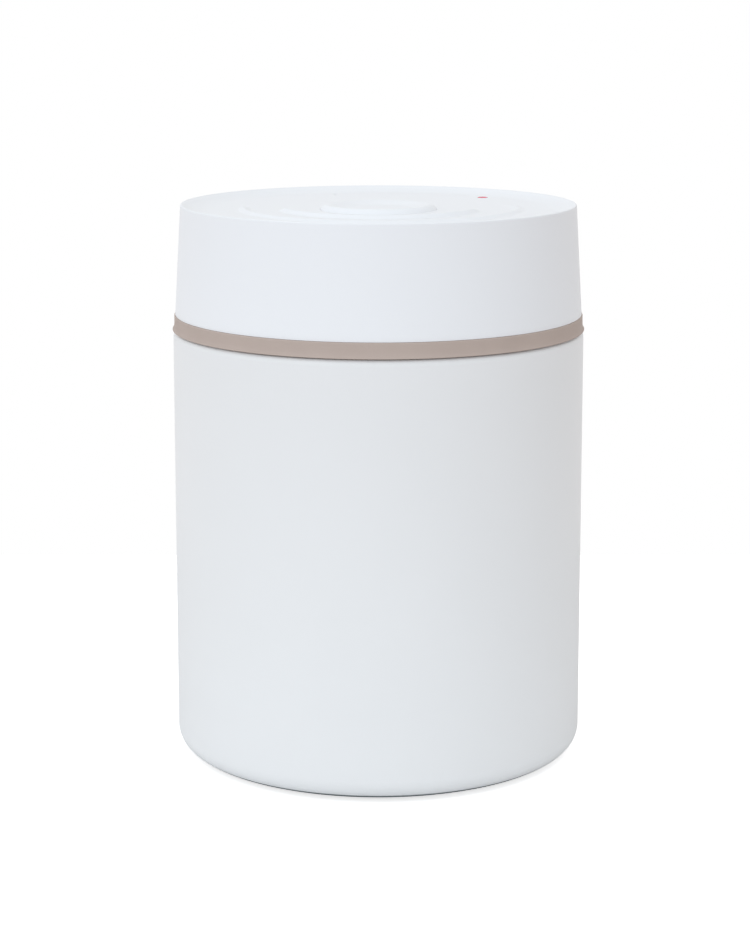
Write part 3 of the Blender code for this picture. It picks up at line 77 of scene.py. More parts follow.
def arc(centre, radius, start, end, steps):
    """Points of an arc in the profile plane, angles in degrees from outward towards up."""
    points = []
    for step in range(steps + 1):
        angle = math.radians(start + (end - start) * step / steps)
        points.append((centre[0] + radius * math.cos(angle), centre[1] + radius * math.sin(angle)))
    return points


def levels(bottom, top, radius, count):
    """Rows of points up a straight wall, so that a long wall has even faces."""
    return [(radius, bottom + (top - bottom) * row / count) for row in range(count + 1)]


def add_turned(bm, profile, sides, centre=(0, 0, 0)):
    """Spin (radius, height) points about the vertical through centre; off the axis it is a loop."""
    x, y, z = centre
    made = [bm.verts.new((x + radius, y, z + height)) for radius, height in profile]
    edges = [bm.edges.new(pair) for pair in zip(made, made[1:])]
    if profile[0][0] != 0 or profile[-1][0] != 0:
        edges.append(bm.edges.new((made[-1], made[0])))
    bmesh.ops.spin(
        bm, geom=made + edges, cent=centre, axis=(0, 0, 1),
        angle=2 * math.pi, steps=sides, use_merge=True,
    )
    bmesh.ops.remove_doubles(bm, verts=bm.verts, dist=WELD)
    bmesh.ops.recalc_face_normals(bm, faces=bm.faces)


def spun_mesh(profile, sides=ROUND_SIDES):
    """A bmesh of one turned shape about its own axis."""
    bm = bmesh.new()
    add_turned(bm, profile, sides)
    return bm


def smooth(mesh):
    """Smooth shading, but for the real edges."""
    mesh.shade_smooth()
    mesh.set_sharp_from_angle(angle=SMOOTH_ANGLE)


def piece(name, bm, material, location=(0, 0, 0)):
    """A finished piece from a bmesh."""
    mesh = bpy.data.meshes.new(name)
    bm.to_mesh(mesh)
    bm.free()
    smooth(mesh)
    mesh.materials.append(material)
    obj = bpy.data.objects.new(name, mesh)
    obj.location = location
    bpy.context.scene.collection.objects.link(obj)
    return obj


def turned(name, profile, material, sides=ROUND_SIDES, location=(0, 0, 0)):
    """A piece turned on its own axis."""
    return piece(name, spun_mesh(profile, sides), material, location)


def new_material(name, color, roughness, metallic=0.0):
    """A material with its nodes, its links and its main shader."""
    material = bpy.data.materials.new(name)
    material.use_nodes = True
    nodes, links = material.node_tree.nodes, material.node_tree.links
    shader = nodes["Principled BSDF"]
    shader.inputs["Base Color"].default_value = color
    shader.inputs["Roughness"].default_value = roughness
    shader.inputs["Metallic"].default_value = metallic
    return material, nodes, links, shader


def grain(nodes, links, scale, detail=2.0, stretch=(1, 1, 1)):
    """Noise in the piece's own space; scale counts its waves per metre."""
    where = nodes.new("ShaderNodeTexCoord")
    shape = nodes.new("ShaderNodeMapping")
    shape.inputs["Scale"].default_value = stretch
    noise = nodes.new("ShaderNodeTexNoise")
    noise.inputs["Scale"].default_value = scale
    noise.inputs["Detail"].default_value = detail
    links.new(where.outputs["Object"], shape.inputs["Vector"])
    links.new(shape.outputs["Vector"], noise.inputs["Vector"])
    return noise.outputs["Fac"]


def patchy(nodes, links, shader, value, low, high):
    """Let the roughness drift between two values."""
    ranged = nodes.new("ShaderNodeMapRange")
    ranged.inputs["To Min"].default_value = low
    ranged.inputs["To Max"].default_value = high
    links.new(value, ranged.inputs["Value"])
    links.new(ranged.outputs["Result"], shader.inputs["Roughness"])


def tint(nodes, links, shader, value, dark, light):
    """Let the colour drift between two close shades."""
    mix = nodes.new("ShaderNodeMix")
    mix.data_type = "RGBA"
    mix.inputs["A"].default_value = dark
    mix.inputs["B"].default_value = light
    links.new(value, mix.inputs["Factor"])
    links.new(mix.outputs["Result"], shader.inputs["Base Color"])


def relief(nodes, links, shader, values, distance):
    """Bump from one or more noises, each (value, strength); distance in metres."""
    normal = None
    for value, strength in values:
        bump = nodes.new("ShaderNodeBump")
        bump.inputs["Strength"].default_value = strength
        bump.inputs["Distance"].default_value = distance
        links.new(value, bump.inputs["Height"])
        if normal is not None:
            links.new(normal, bump.inputs["Normal"])
        normal = bump.outputs["Normal"]
    links.new(normal, shader.inputs["Normal"])


def coat_and_painted_shade():
    """Satin powder coat, a fine mist on a slow orange peel; its lowest edge is painted dark as
    shade.
    """
    material, nodes, links, shader = new_material("coat_and_painted_shade", linear(228, 230, 232), 0.42)
    peel = grain(nodes, links, 900, 1.0)
    mist = grain(nodes, links, 5200, 3.0)
    drift = grain(nodes, links, 28)
    tint(nodes, links, shader, drift, linear(227, 229, 231), linear(230, 232, 234))
    coat = shader.inputs["Base Color"].links[0].from_socket
    # Painted shade: under a set height the coat colour gives way to dark grey, standing in for
    # shade under the base round.
    height = nodes.new("ShaderNodeSeparateXYZ")
    links.new(nodes.new("ShaderNodeTexCoord").outputs["Object"], height.inputs[0])
    unshaded_share = nodes.new("ShaderNodeMapRange")
    unshaded_share.inputs["From Min"].default_value = PAINTED_SHADE_LEVEL
    unshaded_share.inputs["From Max"].default_value = PAINTED_SHADE_LEVEL + PAINTED_SHADE_BLUR
    links.new(height.outputs["Z"], unshaded_share.inputs["Value"])
    painted_shade_mix = nodes.new("ShaderNodeMix")
    painted_shade_mix.data_type = "RGBA"
    painted_shade_mix.inputs["A"].default_value = linear(90, 100, 104)
    links.new(unshaded_share.outputs["Result"], painted_shade_mix.inputs["Factor"])
    links.new(coat, painted_shade_mix.inputs["B"])
    links.new(painted_shade_mix.outputs["Result"], shader.inputs["Base Color"])
    patchy(nodes, links, shader, mist, 0.36, 0.5)
    relief(nodes, links, shader, ((peel, 0.18), (mist, 0.12)), 0.00004)
    shader.inputs["Coat Weight"].default_value = 0.12
    shader.inputs["Coat Roughness"].default_value = 0.3
    return material


shell_low, shell_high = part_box("outer_shell")
BODY_RADIUS = shell_high.x
SHELL_BOTTOM = shell_low.z
SHOULDER = shell_high.z
BASE_ROUND = 0.0055
SHOULDER_ROUND = 0.0012
SHOULDER_FALL = 0.0018
SHELL_WALL = 0.0008
SHOULDER_WIDTH = 0.0038
MOUTH_EDGE = 0.00012
BASE_OPENING = 0.0475
BASE_STEPS = 14
SHELL_ROWS = 24
ROUND_STEPS = 10
LIP_STEPS = 8


def shell_profile():
    """Section of the jacket, from the base opening round the outside and back inside."""
    base = (BODY_RADIUS - BASE_ROUND, SHELL_BOTTOM + BASE_ROUND)
    turn_in = SHOULDER - SHOULDER_FALL
    inner = BODY_RADIUS - SHELL_WALL
    mouth = BODY_RADIUS - SHOULDER_WIDTH
    profile = [(BASE_OPENING, SHELL_BOTTOM)]
    profile += arc(base, BASE_ROUND, -90, 0, BASE_STEPS)
    profile += levels(base[1], turn_in, BODY_RADIUS, SHELL_ROWS)[1:-1]
    turn = (BODY_RADIUS - SHOULDER_ROUND, 0)
    for radius, rise in arc(turn, SHOULDER_ROUND, 0, 90, ROUND_STEPS):
        profile.append((radius, turn_in + rise * SHOULDER_FALL / SHOULDER_ROUND))
    ledge = SHOULDER - SHELL_WALL
    profile += [(mouth + MOUTH_EDGE, SHOULDER), (mouth, SHOULDER - MOUTH_EDGE)]
    profile += [(mouth, ledge), (inner, ledge)]
    profile += arc(base, BASE_ROUND - SHELL_WALL, 0, -90, LIP_STEPS)
    profile += [(BASE_OPENING, SHELL_BOTTOM + SHELL_WALL)]
    return profile


shell = turned("jar_shell", shell_profile(), coat_and_painted_shade())
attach(shell, "canister")
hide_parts("outer_shell")

# The inner liner
# Drawn stainless cup that holds the food. It is brushed round and round on a lathe, inside and
# out, and its lip is welded edge to edge with the jacket at the mouth, then polished.


def brushed_steel():
    """Stainless steel with fine rings of brushing round its axis."""
    material, nodes, links, shader = new_material("brushed_steel", linear(206, 205, 202), 0.3, 1.0)
    rings = grain(nodes, links, 60, 3.0, (1, 1, 90))
    drift = grain(nodes, links, 45)
    tint(nodes, links, shader, drift, linear(199, 198, 195), linear(212, 211, 208))
    patchy(nodes, links, shader, rings, 0.22, 0.4)
    relief(nodes, links, shader, ((rings, 0.25),), 0.00002)
    return material


liner_low, liner_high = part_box("inner_liner")
LINER_ROUND = 0.006
LINER_WALL = 0.0008
LINER_RADIUS = 0.0493
LIP_ROUND = 0.001
SEAM_GAP = 0.00003
LIP_RADIUS = BODY_RADIUS - SHOULDER_WIDTH - SEAM_GAP
LINER_ROWS = 16


def liner_profile():
    """Section of the cup from its underside's centre round the lip to the floor's centre."""
    mouth = LINER_RADIUS - LINER_WALL
    corner = (LINER_RADIUS - LINER_ROUND, liner_low.z + LINER_ROUND)
    profile = [(0, liner_low.z)]
    profile += arc(corner, LINER_ROUND, -90, 0, ROUND_STEPS)
    ledge = liner_high.z - LINER_WALL
    profile += levels(corner[1], ledge, LINER_RADIUS, LINER_ROWS)[1:]
    profile += [(LIP_RADIUS, ledge), (LIP_RADIUS, liner_high.z)]
    lip = (mouth + LIP_ROUND, liner_high.z - LIP_ROUND)
    profile += arc(lip, LIP_ROUND, 90, 180, LIP_STEPS)
    profile += levels(lip[1], corner[1], mouth, LINER_ROWS)[1:-1]
    profile += arc(corner, LINER_ROUND - LINER_WALL, 0, -90, ROUND_STEPS)
    profile += [(0, liner_low.z + LINER_WALL)]
    return profile


steel = brushed_steel()
liner = turned("steel_cup", liner_profile(), steel)
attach(liner, "canister")
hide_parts("inner_liner")

# The base cap and the foot ring
# The cap is a moulded disc that snaps into the jacket's underside. A soft silicone ring is pressed
# into its groove and stands the jar a hair off the table, which leaves a thin shadow round it.


def moulded(name, dark, light, roughness):
    """Moulded plastic with a fine spark-eroded grain."""
    material, nodes, links, shader = new_material(name, light, roughness)
    spark = grain(nodes, links, 3600, 3.0)
    flow = grain(nodes, links, 22)
    tint(nodes, links, shader, flow, dark, light)
    patchy(nodes, links, shader, spark, roughness - 0.06, roughness + 0.08)
    relief(nodes, links, shader, ((spark, 0.2),), 0.00004)
    return material


def silicone(name, dark, light, roughness=0.62):
    """Matt silicone: a slow mottle and a skin of very fine dust-holding texture."""
    material, nodes, links, shader = new_material(name, light, roughness)
    skin = grain(nodes, links, 4200, 3.0)
    mottle = grain(nodes, links, 140, 3.0)
    tint(nodes, links, shader, mottle, dark, light)
    patchy(nodes, links, shader, skin, roughness - 0.05, roughness + 0.1)
    relief(nodes, links, shader, ((skin, 0.2),), 0.00004)
    shader.inputs["Specular IOR Level"].default_value = 0.3
    return material


grey_plastic = moulded("grey_plastic", linear(176, 177, 180), linear(184, 185, 188), 0.46)
dark_rubber = silicone("dark_rubber", linear(52, 54, 57), linear(60, 62, 65))
cap_low, cap_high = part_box("base_cap")
foot_low, foot_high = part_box("foot_ring")
CAP_THICKNESS = 0.0022
CAP_HOLLOW = 0.0005
CAP_RADIUS = BASE_OPENING - 0.0003
CAP_BEAD_LEVEL = 0.0011
RIB_RADIUS = 0.03
RIB_WIDTH = 0.002
FOOT_WIDTH = 0.0045
FOOT_EDGE = 0.0004
GROOVE_GAP = 0.0003
EDGE_STEPS = 5


def cap_profile():
    """Section of the base cap: hollowed centre, foot groove, snap bead and carrying rib."""
    bottom = cap_low.z
    top = bottom + CAP_THICKNESS
    groove_top = foot_high.z + GROOVE_GAP
    groove_in = foot_high.x - FOOT_WIDTH - GROOVE_GAP
    groove_out = foot_high.x + GROOVE_GAP
    rib_in, rib_out = RIB_RADIUS - RIB_WIDTH / 2, RIB_RADIUS + RIB_WIDTH / 2
    return [
        (0, bottom + CAP_HOLLOW), (RIB_RADIUS, bottom + CAP_HOLLOW),
        (RIB_RADIUS + CAP_HOLLOW, bottom), (groove_in, bottom), (groove_in, groove_top),
        (groove_out, groove_top), (groove_out, bottom), (CAP_RADIUS, bottom),
        (CAP_RADIUS, bottom + CAP_BEAD_LEVEL), (cap_high.x, bottom + CAP_BEAD_LEVEL),
        (CAP_RADIUS, top), (rib_out, top), (rib_out, cap_high.z), (rib_in, cap_high.z),
        (rib_in, top), (0, top),
    ]


def foot_profile():
    """Section of the ring, its ground edges eased."""
    inner = foot_high.x - FOOT_WIDTH
    outer = foot_high.x
    edge_level = foot_low.z + FOOT_EDGE
    profile = arc((outer - FOOT_EDGE, edge_level), FOOT_EDGE, -90, 0, EDGE_STEPS)
    profile += [(outer, foot_high.z), (inner, foot_high.z)]
    profile += arc((inner + FOOT_EDGE, edge_level), FOOT_EDGE, 180, 270, EDGE_STEPS)
    return profile


cap = turned("base_disc", cap_profile(), grey_plastic)
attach(cap, "canister")
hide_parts("base_cap")
foot = turned("foot", foot_profile(), dark_rubber)
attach(foot, "canister")
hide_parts("foot_ring")

# The tray
# Grey moulding that closes the lid from below. Its plug stands in the jar's mouth, its groove holds
# the seal band, and screws hold its flange to the cover. Pump, cell and valves stand on its floor.

ROD_SIDES = 48


def cutter(name, bm):
    """An operand for a cut, which carve drops again."""
    mesh = bpy.data.meshes.new(name)
    bm.to_mesh(mesh)
    bm.free()
    obj = bpy.data.objects.new(name, mesh)
    bpy.context.scene.collection.objects.link(obj)
    return obj


def add_rod(bm, start, end, radius, sides=ROD_SIDES):
    """A plain round rod between two points."""
    start, end = Vector(start), Vector(end)
    run = end - start
    turn = run.to_track_quat("Z", "Y").to_matrix().to_4x4()
    turn.translation = (start + end) / 2
    bmesh.ops.create_cone(
        bm, cap_ends=True, segments=sides, radius1=radius, radius2=radius,
        depth=run.length, matrix=turn,
    )


def add_prism(bm, outline, run):
    """Extrude a flat outline of points by the vector run."""
    face = bm.faces.new([bm.verts.new(point) for point in outline])
    grown = bmesh.ops.extrude_face_region(bm, geom=[face])
    moved = [item for item in grown["geom"] if isinstance(item, bmesh.types.BMVert)]
    bmesh.ops.translate(bm, verts=moved, vec=run)
    bmesh.ops.recalc_face_normals(bm, faces=bm.faces)


def circle_spots(radius, count, start=0):
    """Points evenly round a circle about the axis, the first at start degrees."""
    turns = [math.radians(start + 360 * spot / count) for spot in range(count)]
    return [Vector((radius * math.cos(turn), radius * math.sin(turn), 0)) for turn in turns]


def carve(obj, operand):
    """Cut one mesh with another for good, and drop the operand."""
    modifier = obj.modifiers.new("cut", "BOOLEAN")
    modifier.operation = "DIFFERENCE"
    modifier.solver = "EXACT"
    modifier.object = operand
    bpy.context.view_layer.update()
    graph = bpy.context.evaluated_depsgraph_get()
    mesh = bpy.data.meshes.new_from_object(obj.evaluated_get(graph))
    obj.modifiers.remove(modifier)
    obj.data = mesh
    bpy.data.objects.remove(operand)
    smooth(mesh)


tray_low, tray_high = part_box("lid_tray")
cover_low, cover_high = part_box("lid_cover")
motor_low, motor_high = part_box("motor")
cell_low, cell_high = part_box("battery_cell")
filter_low, filter_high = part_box("filter_cap")
valve_low, valve_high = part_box("valve_cap")
clamp_low, clamp_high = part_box("pump_clamp")
screw_low, screw_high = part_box("cover_screw_1")
PLUG_RADIUS = 0.0476
PLUG_BOTTOM = tray_low.z
PLUG_ROUND = 0.002
FLANGE_TOP = tray_high.z
TRAY_WALL = 0.0024
TRAY_FLOOR = 0.002
BEAD_DEPTH = 0.0012
BEAD_HEIGHT = 0.002
PIN_GUIDE = 0.0026
GUIDE_WALL = 0.0016
GUIDE_HEIGHT = 0.0055
COVER_SCREWS = 4
FIRST_SCREW = 45
SCREW_HEAD = 0.00185
SCREW_HOLE = 0.0013
SCREW_HEAD_DEPTH = 0.0014
FLOW_CIRCLE = 0.0026
FLOW_HOLE = 0.0005
FLOW_HOLES = 5
STEM_HOLE = 0.0012
RIB_THICKNESS = 0.0016
RIB_MARGIN = 0.002
RIB_SHARES = (0.12, 0.88)
POST_RADIUS = 0.0024
POST_INSET = 0.0021
CUT_OVERRUN = 0.0005
CRADLE_STEPS = 20
VALVE_RING_SIDES = 64
SCREW_SIDES = 32
FLOW_SIDES = 16
FLOOR_LEVEL = PLUG_BOTTOM + TRAY_FLOOR
SKIRT_BOTTOM = cover_low.z
valve_axis = Vector(((filter_low.x + filter_high.x) / 2, (filter_low.y + filter_high.y) / 2, 0))
screw_circle = math.hypot(screw_low.x + screw_high.x, screw_low.y + screw_high.y) / 2
band_middle = (SHOULDER + SKIRT_BOTTOM) / 2


def tray_profile():
    """Section of the tray from the pin's guide round the plug, the groove and the flange."""
    groove = PLUG_RADIUS - BEAD_DEPTH
    groove_half = BEAD_HEIGHT / 2 + GROOVE_GAP
    inside = PLUG_RADIUS - TRAY_WALL
    guide_top = FLOOR_LEVEL + GUIDE_HEIGHT
    profile = [(PIN_GUIDE, PLUG_BOTTOM)]
    corner = (PLUG_RADIUS - PLUG_ROUND, PLUG_BOTTOM + PLUG_ROUND)
    profile += arc(corner, PLUG_ROUND, -90, 0, ROUND_STEPS)
    profile += [(PLUG_RADIUS, band_middle - groove_half), (groove, band_middle - groove_half)]
    profile += [(groove, band_middle + groove_half), (PLUG_RADIUS, band_middle + groove_half)]
    profile += [(PLUG_RADIUS, SKIRT_BOTTOM), (tray_high.x, SKIRT_BOTTOM)]
    profile += [(tray_high.x, FLANGE_TOP), (inside, FLANGE_TOP), (inside, FLOOR_LEVEL)]
    profile += [(PIN_GUIDE + GUIDE_WALL, FLOOR_LEVEL), (PIN_GUIDE + GUIDE_WALL, guide_top)]
    profile.append((PIN_GUIDE, guide_top))
    return profile


def add_cradle_ribs(bm, low, high):
    """Two ribs across the floor, notched round a cylinder that lies along X between two corners."""
    radius = (high.y - low.y) / 2
    middle_y, middle_z = (low.y + high.y) / 2, (low.z + high.z) / 2
    top = middle_z - radius / 2
    hold = radius + GROOVE_GAP
    edge = math.degrees(math.asin((middle_z - top) / hold))
    half = radius + RIB_MARGIN
    base = FLOOR_LEVEL - CUT_OVERRUN
    for share in RIB_SHARES:
        x = low.x + share * (high.x - low.x) - RIB_THICKNESS / 2
        notch = arc((middle_y, middle_z), hold, -edge, edge - 180, CRADLE_STEPS)
        outline = [(x, middle_y - half, base), (x, middle_y + half, base)]
        outline += [(x, middle_y + half, top), *((x, y, z) for y, z in notch)]
        outline.append((x, middle_y - half, top))
        add_prism(bm, outline, (RIB_THICKNESS, 0, 0))


def add_tray_fittings(bm):
    """Cradle ribs for motor and cell, two clamp posts and the ring round the valve cap."""
    add_cradle_ribs(bm, motor_low, motor_high)
    add_cradle_ribs(bm, cell_low, cell_high)
    for y in (clamp_low.y + POST_INSET, clamp_high.y - POST_INSET):
        foot = ((clamp_low.x + clamp_high.x) / 2, y, FLOOR_LEVEL - CUT_OVERRUN)
        add_rod(bm, foot, (foot[0], y, clamp_low.z - GROOVE_GAP), POST_RADIUS)
    inner = (valve_high.x - valve_low.x) / 2 + GROOVE_GAP
    outer = inner + GUIDE_WALL / 2
    ring = [(inner, -CUT_OVERRUN), (outer, -CUT_OVERRUN), (outer, GUIDE_WALL), (inner, GUIDE_WALL)]
    add_turned(bm, ring, VALVE_RING_SIDES, valve_axis + Vector((0, 0, FLOOR_LEVEL)))


def tray_cuts():
    """Stepped screw holes in the flange, and the suction valve's holes in the floor."""
    bm = bmesh.new()
    recess = SKIRT_BOTTOM + SCREW_HEAD_DEPTH
    above = FLANGE_TOP + CUT_OVERRUN
    stepped = [(0, SKIRT_BOTTOM - CUT_OVERRUN), (SCREW_HEAD, SKIRT_BOTTOM - CUT_OVERRUN)]
    stepped += [(SCREW_HEAD, recess), (SCREW_HOLE, recess), (SCREW_HOLE, above), (0, above)]
    for spot in circle_spots(screw_circle, COVER_SCREWS, FIRST_SCREW):
        add_turned(bm, stepped, SCREW_SIDES, spot)
    low = valve_axis + Vector((0, 0, PLUG_BOTTOM - CUT_OVERRUN))
    through = Vector((0, 0, TRAY_FLOOR + 2 * CUT_OVERRUN))
    add_rod(bm, low, low + through, STEM_HOLE, SCREW_SIDES)
    for spot in circle_spots(FLOW_CIRCLE, FLOW_HOLES):
        add_rod(bm, low + spot, low + spot + through, FLOW_HOLE, FLOW_SIDES)
    return cutter("tray_cuts", bm)


tray = turned("plug_tray", tray_profile(), grey_plastic)
carve(tray, tray_cuts())
fittings = bmesh.new()
fittings.from_mesh(tray.data)
add_tray_fittings(fittings)
fittings.to_mesh(tray.data)
fittings.free()
smooth(tray.data)
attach(tray, "lid")
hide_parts("lid_tray")

# The release valve and the inlet filter
# Under the tray a spring-loaded pin with a rubber washer closes the vent, and a pierced cap snaps
# over the pump's inlet to keep grounds out. Both are what one sees when the lid is turned over.

pin_low, pin_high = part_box("release_pin")
washer_low, washer_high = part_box("release_seal")
PIN_RADIUS = 0.002
PIN_HEAD_RADIUS = 0.0052
PIN_HEAD_THICKNESS = 0.0012
PIN_COLLAR_THICKNESS = 0.0012
PIN_COLLAR_DROP = 0.0035
PIN_EDGE = 0.0004
WASHER_HOLE = 0.0023
WASHER_EDGE = 0.0002
FINE_STEPS = 4
SMALL_SIDES = 96
HOLE_SIDES = 24
spring_low, spring_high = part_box("release_spring")
SPRING_WIRE = 0.0006
SPRING_TURNS = 5
SPRING_POINTS = 40
SPRING_SIDES = 12


def pin_profile():
    """Section of the pin: rounded head, shaft, spring collar and tip."""
    head_top = pin_low.z + PIN_HEAD_THICKNESS
    collar_top = pin_high.z - PIN_COLLAR_DROP
    collar_low = collar_top - PIN_COLLAR_THICKNESS
    profile = [(0, pin_low.z)]
    edge = (PIN_HEAD_RADIUS - PIN_EDGE, pin_low.z + PIN_EDGE)
    profile += arc(edge, PIN_EDGE, -90, 0, EDGE_STEPS)
    profile += [(PIN_HEAD_RADIUS, head_top), (PIN_RADIUS, head_top), (PIN_RADIUS, collar_low)]
    profile += [(pin_high.x, collar_low), (pin_high.x, collar_top), (PIN_RADIUS, collar_top)]
    profile += [(PIN_RADIUS, pin_high.z - WASHER_EDGE), (PIN_RADIUS - WASHER_EDGE, pin_high.z)]
    profile.append((0, pin_high.z))
    return profile


def washer_profile():
    """Section of the washer, its outer edges eased."""
    outer = washer_high.x - WASHER_EDGE
    profile = [(WASHER_HOLE, washer_low.z)]
    profile += arc((outer, washer_low.z + WASHER_EDGE), WASHER_EDGE, -90, 0, FINE_STEPS)
    profile += arc((outer, washer_high.z - WASHER_EDGE), WASHER_EDGE, 0, 90, FINE_STEPS)
    profile.append((WASHER_HOLE, washer_high.z))
    return profile


def coil_spring():
    """Coil spring with closed ends, standing on the tray's floor under the pin's collar."""
    radius = spring_high.x - SPRING_WIRE / 2
    low = spring_low.z + SPRING_WIRE / 2
    climb_height = spring_high.z - spring_low.z - 2 * SPRING_WIRE
    points = []
    for step in range(SPRING_TURNS * SPRING_POINTS + 1):
        turns = step / SPRING_POINTS
        climb = min(1, max(0, (turns - 1 / 2) / (SPRING_TURNS - 1)))
        closed = min(turns, 1 / 2) + 1 / 2 - min(SPRING_TURNS - turns, 1 / 2)
        angle = 2 * math.pi * turns
        height = low + SPRING_WIRE * closed + climb * climb_height
        points.append(Vector((radius * math.cos(angle), radius * math.sin(angle), height)))
    bm = bmesh.new()
    rings = []
    section = arc((0, 0), SPRING_WIRE / 2, 0, 360, SPRING_SIDES)[:-1]
    for index, point in enumerate(points):
        ahead = points[min(index + 1, len(points) - 1)] - points[max(index - 1, 0)]
        outward = Vector((point.x, point.y, 0)).normalized()
        up = outward.cross(ahead).normalized()
        ring = [point + outward * across + up * rise for across, rise in section]
        rings.append([bm.verts.new(spot) for spot in ring])
    for ring, after in zip(rings, rings[1:]):
        for side in range(SPRING_SIDES):
            other = (side + 1) % SPRING_SIDES
            bm.faces.new((ring[side], ring[other], after[other], after[side]))
    bm.faces.new(rings[0])
    bm.faces.new(rings[-1])
    bmesh.ops.recalc_face_normals(bm, faces=bm.faces)
    return bm


def plated_steel():
    """Bright nickel-plated steel with a faint haze."""
    material, nodes, links, shader = new_material("plated_steel", linear(205, 205, 207), 0.25, 1.0)
    haze = grain(nodes, links, 900, 3.0)
    patchy(nodes, links, shader, haze, 0.18, 0.34)
    tint(nodes, links, shader, haze, linear(198, 198, 200), linear(210, 210, 212))
    return material


FILTER_WALL = 0.0009
FILTER_FLOOR = 0.0009
FILTER_EDGE = 0.00045
FILTER_HOLE = 0.0009
FILTER_HOLES = 6
FILTER_CIRCLE = 0.0033


def filter_profile():
    """Section of the pierced cap."""
    outer = (filter_high.x - filter_low.x) / 2
    inner = outer - FILTER_WALL
    bottom, top = filter_low.z, filter_high.z
    profile = [(0, bottom)]
    edge = (outer - FILTER_EDGE, bottom + FILTER_EDGE)
    profile += arc(edge, FILTER_EDGE, -90, 0, EDGE_STEPS)
    profile += [(outer, top), (inner, top)]
    profile += [(inner, bottom + FILTER_FLOOR), (0, bottom + FILTER_FLOOR)]
    return profile


def filter_holes():
    """Six round holes through the cap's floor."""
    bm = bmesh.new()
    low = Vector((0, 0, filter_low.z - CUT_OVERRUN))
    through = Vector((0, 0, FILTER_FLOOR + 2 * CUT_OVERRUN))
    for spot in circle_spots(FILTER_CIRCLE, FILTER_HOLES):
        add_rod(bm, low + spot, low + spot + through, FILTER_HOLE, HOLE_SIDES)
    return bm


pin = turned("vent_pin", pin_profile(), grey_plastic, SMALL_SIDES)
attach(pin, "release")
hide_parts("release_pin")
washer = turned("vent_washer", washer_profile(), dark_rubber, SMALL_SIDES)
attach(washer, "release")
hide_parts("release_seal")
plated = plated_steel()
spring = piece("vent_spring", coil_spring(), plated)
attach(spring, "lid")
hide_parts("release_spring")
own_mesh(spring)
cage = turned("inlet_cage", filter_profile(), grey_plastic, SMALL_SIDES)
carve(cage, cutter("cage_cuts", filter_holes()))
cage.location = valve_axis
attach(cage, "lid")
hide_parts("filter_cap")

# The seal band
# Moulded taupe silicone ring between lid and jar. It bulges a little past both outside, seals flat
# on the shoulder below, and a bead inside locks it in the tray's groove.

band_low, band_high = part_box("seal_band")
BAND_BULGE = 0.00075
LIP_EDGE = 0.00012
BAND_LIFT = 0.00026
BAND_TOP_ROUND = 0.0003
BAND_TOP_PROUD = 0.00026
FLARE_ROWS = 28
FLARE_POWER = 6


def band_profile():
    """Section of the band: flat seat, lower lip flaring out, near-flat face, inner bead."""
    inner = PLUG_RADIUS + GROOVE_GAP
    flank = band_high.x - BAND_BULGE + BAND_TOP_PROUD
    profile = [(inner, band_low.z)]
    start = band_low.z + LIP_EDGE
    profile += arc((band_high.x - LIP_EDGE, start), LIP_EDGE, -90, 0, LIP_STEPS)
    top = band_high.z + BAND_LIFT
    end = top - BAND_TOP_ROUND
    for row in range(1, FLARE_ROWS):
        share = row / FLARE_ROWS
        flare = (band_high.x - flank) * (1 - share) ** FLARE_POWER
        profile.append((flank + flare, start + share * (end - start)))
    profile += arc((flank - BAND_TOP_ROUND, end), BAND_TOP_ROUND, 0, 90, FINE_STEPS)
    bead_low, bead_high = band_middle - BEAD_HEIGHT / 2, band_middle + BEAD_HEIGHT / 2
    profile += [(inner, top), (inner, bead_high), (inner - BEAD_DEPTH, bead_high)]
    profile += [(inner - BEAD_DEPTH, bead_low), (inner, bead_low)]
    return profile


taupe_silicone = silicone("taupe_silicone", linear(178, 164, 156), linear(186, 172, 164))
band = turned("silicone_band", band_profile(), taupe_silicone)
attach(band, "lid")
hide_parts("seal_band")

# The lid's cover
# One moulding in satin white plastic: a tapered skirt, a rounded rim and a shallow dish whose
# ripples spread from the button. The mould is spark-eroded, which leaves a very fine grain.

button_low, button_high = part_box("button_cap")
RIM_LEVEL = cover_high.z
SKIRT_RADIUS = cover_high.x
LID_DRAFT = 0.00165
RIM_RADIUS = SKIRT_RADIUS - LID_DRAFT
COVER_WALL = 0.0021
RIM_ROUND = 0.0004
DISH_DEPTH = 0.0016
DISH_SLOPE_WIDTH = 0.007
DISH_LEVEL = RIM_LEVEL - DISH_DEPTH
DISH_FLOOR_RADIUS = RIM_RADIUS - RIM_ROUND - DISH_SLOPE_WIDTH
COVER_UNDERSIDE = DISH_LEVEL - COVER_WALL
BUTTON_RADIUS = 0.0156
BUTTON_GAP = 0.00006
HOLE_EDGE = 0.00006
SKIRT_EDGE = 0.0001
COLLAR_WIDTH = 0.0026
COLLAR_DEPTH = 0.0005
CORNER_BREAK = 0.0018
RIPPLE_SHIFT = 0.00065
RIPPLE_HALF_WIDTH = 0.0019
INNER_RIPPLE = (0.571, 0.00105, (183, 350), (14, 12))
OUTER_RIPPLE = (0.805, 0.00075, (169, 400), (14, 70))
DISH_ROWS = 72
SLOPE_ROWS = 16
SKIRT_ROWS = 18
RIM_STEPS = 12
RIM_START = 114
SLOT_STEPS = 12


def eased(share):
    """0 to 1 with a soft start and end."""
    return share * share * (3 - 2 * share)


def arc_share(angle, ends, fades):
    """1 along an arc of the dish, easing to 0 over the fades at its two ends, all in degrees."""
    start, end = ends
    along = (angle - start) % 360
    left = end - start - along
    if left <= 0:
        return 0
    return eased(min(1, along / fades[0], left / fades[1]))


def ripple_rise(radius, angle):
    """Height of the two low ripples above the dish floor."""
    rise = 0
    for share, height, ends, fades in (INNER_RIPPLE, OUTER_RIPPLE):
        offset = abs(radius - share * DISH_FLOOR_RADIUS) / RIPPLE_HALF_WIDTH
        if offset < 1:
            bump = (1 + math.cos(math.pi * offset)) / 2
            rise += height * bump * arc_share(angle, ends, fades)
    return rise


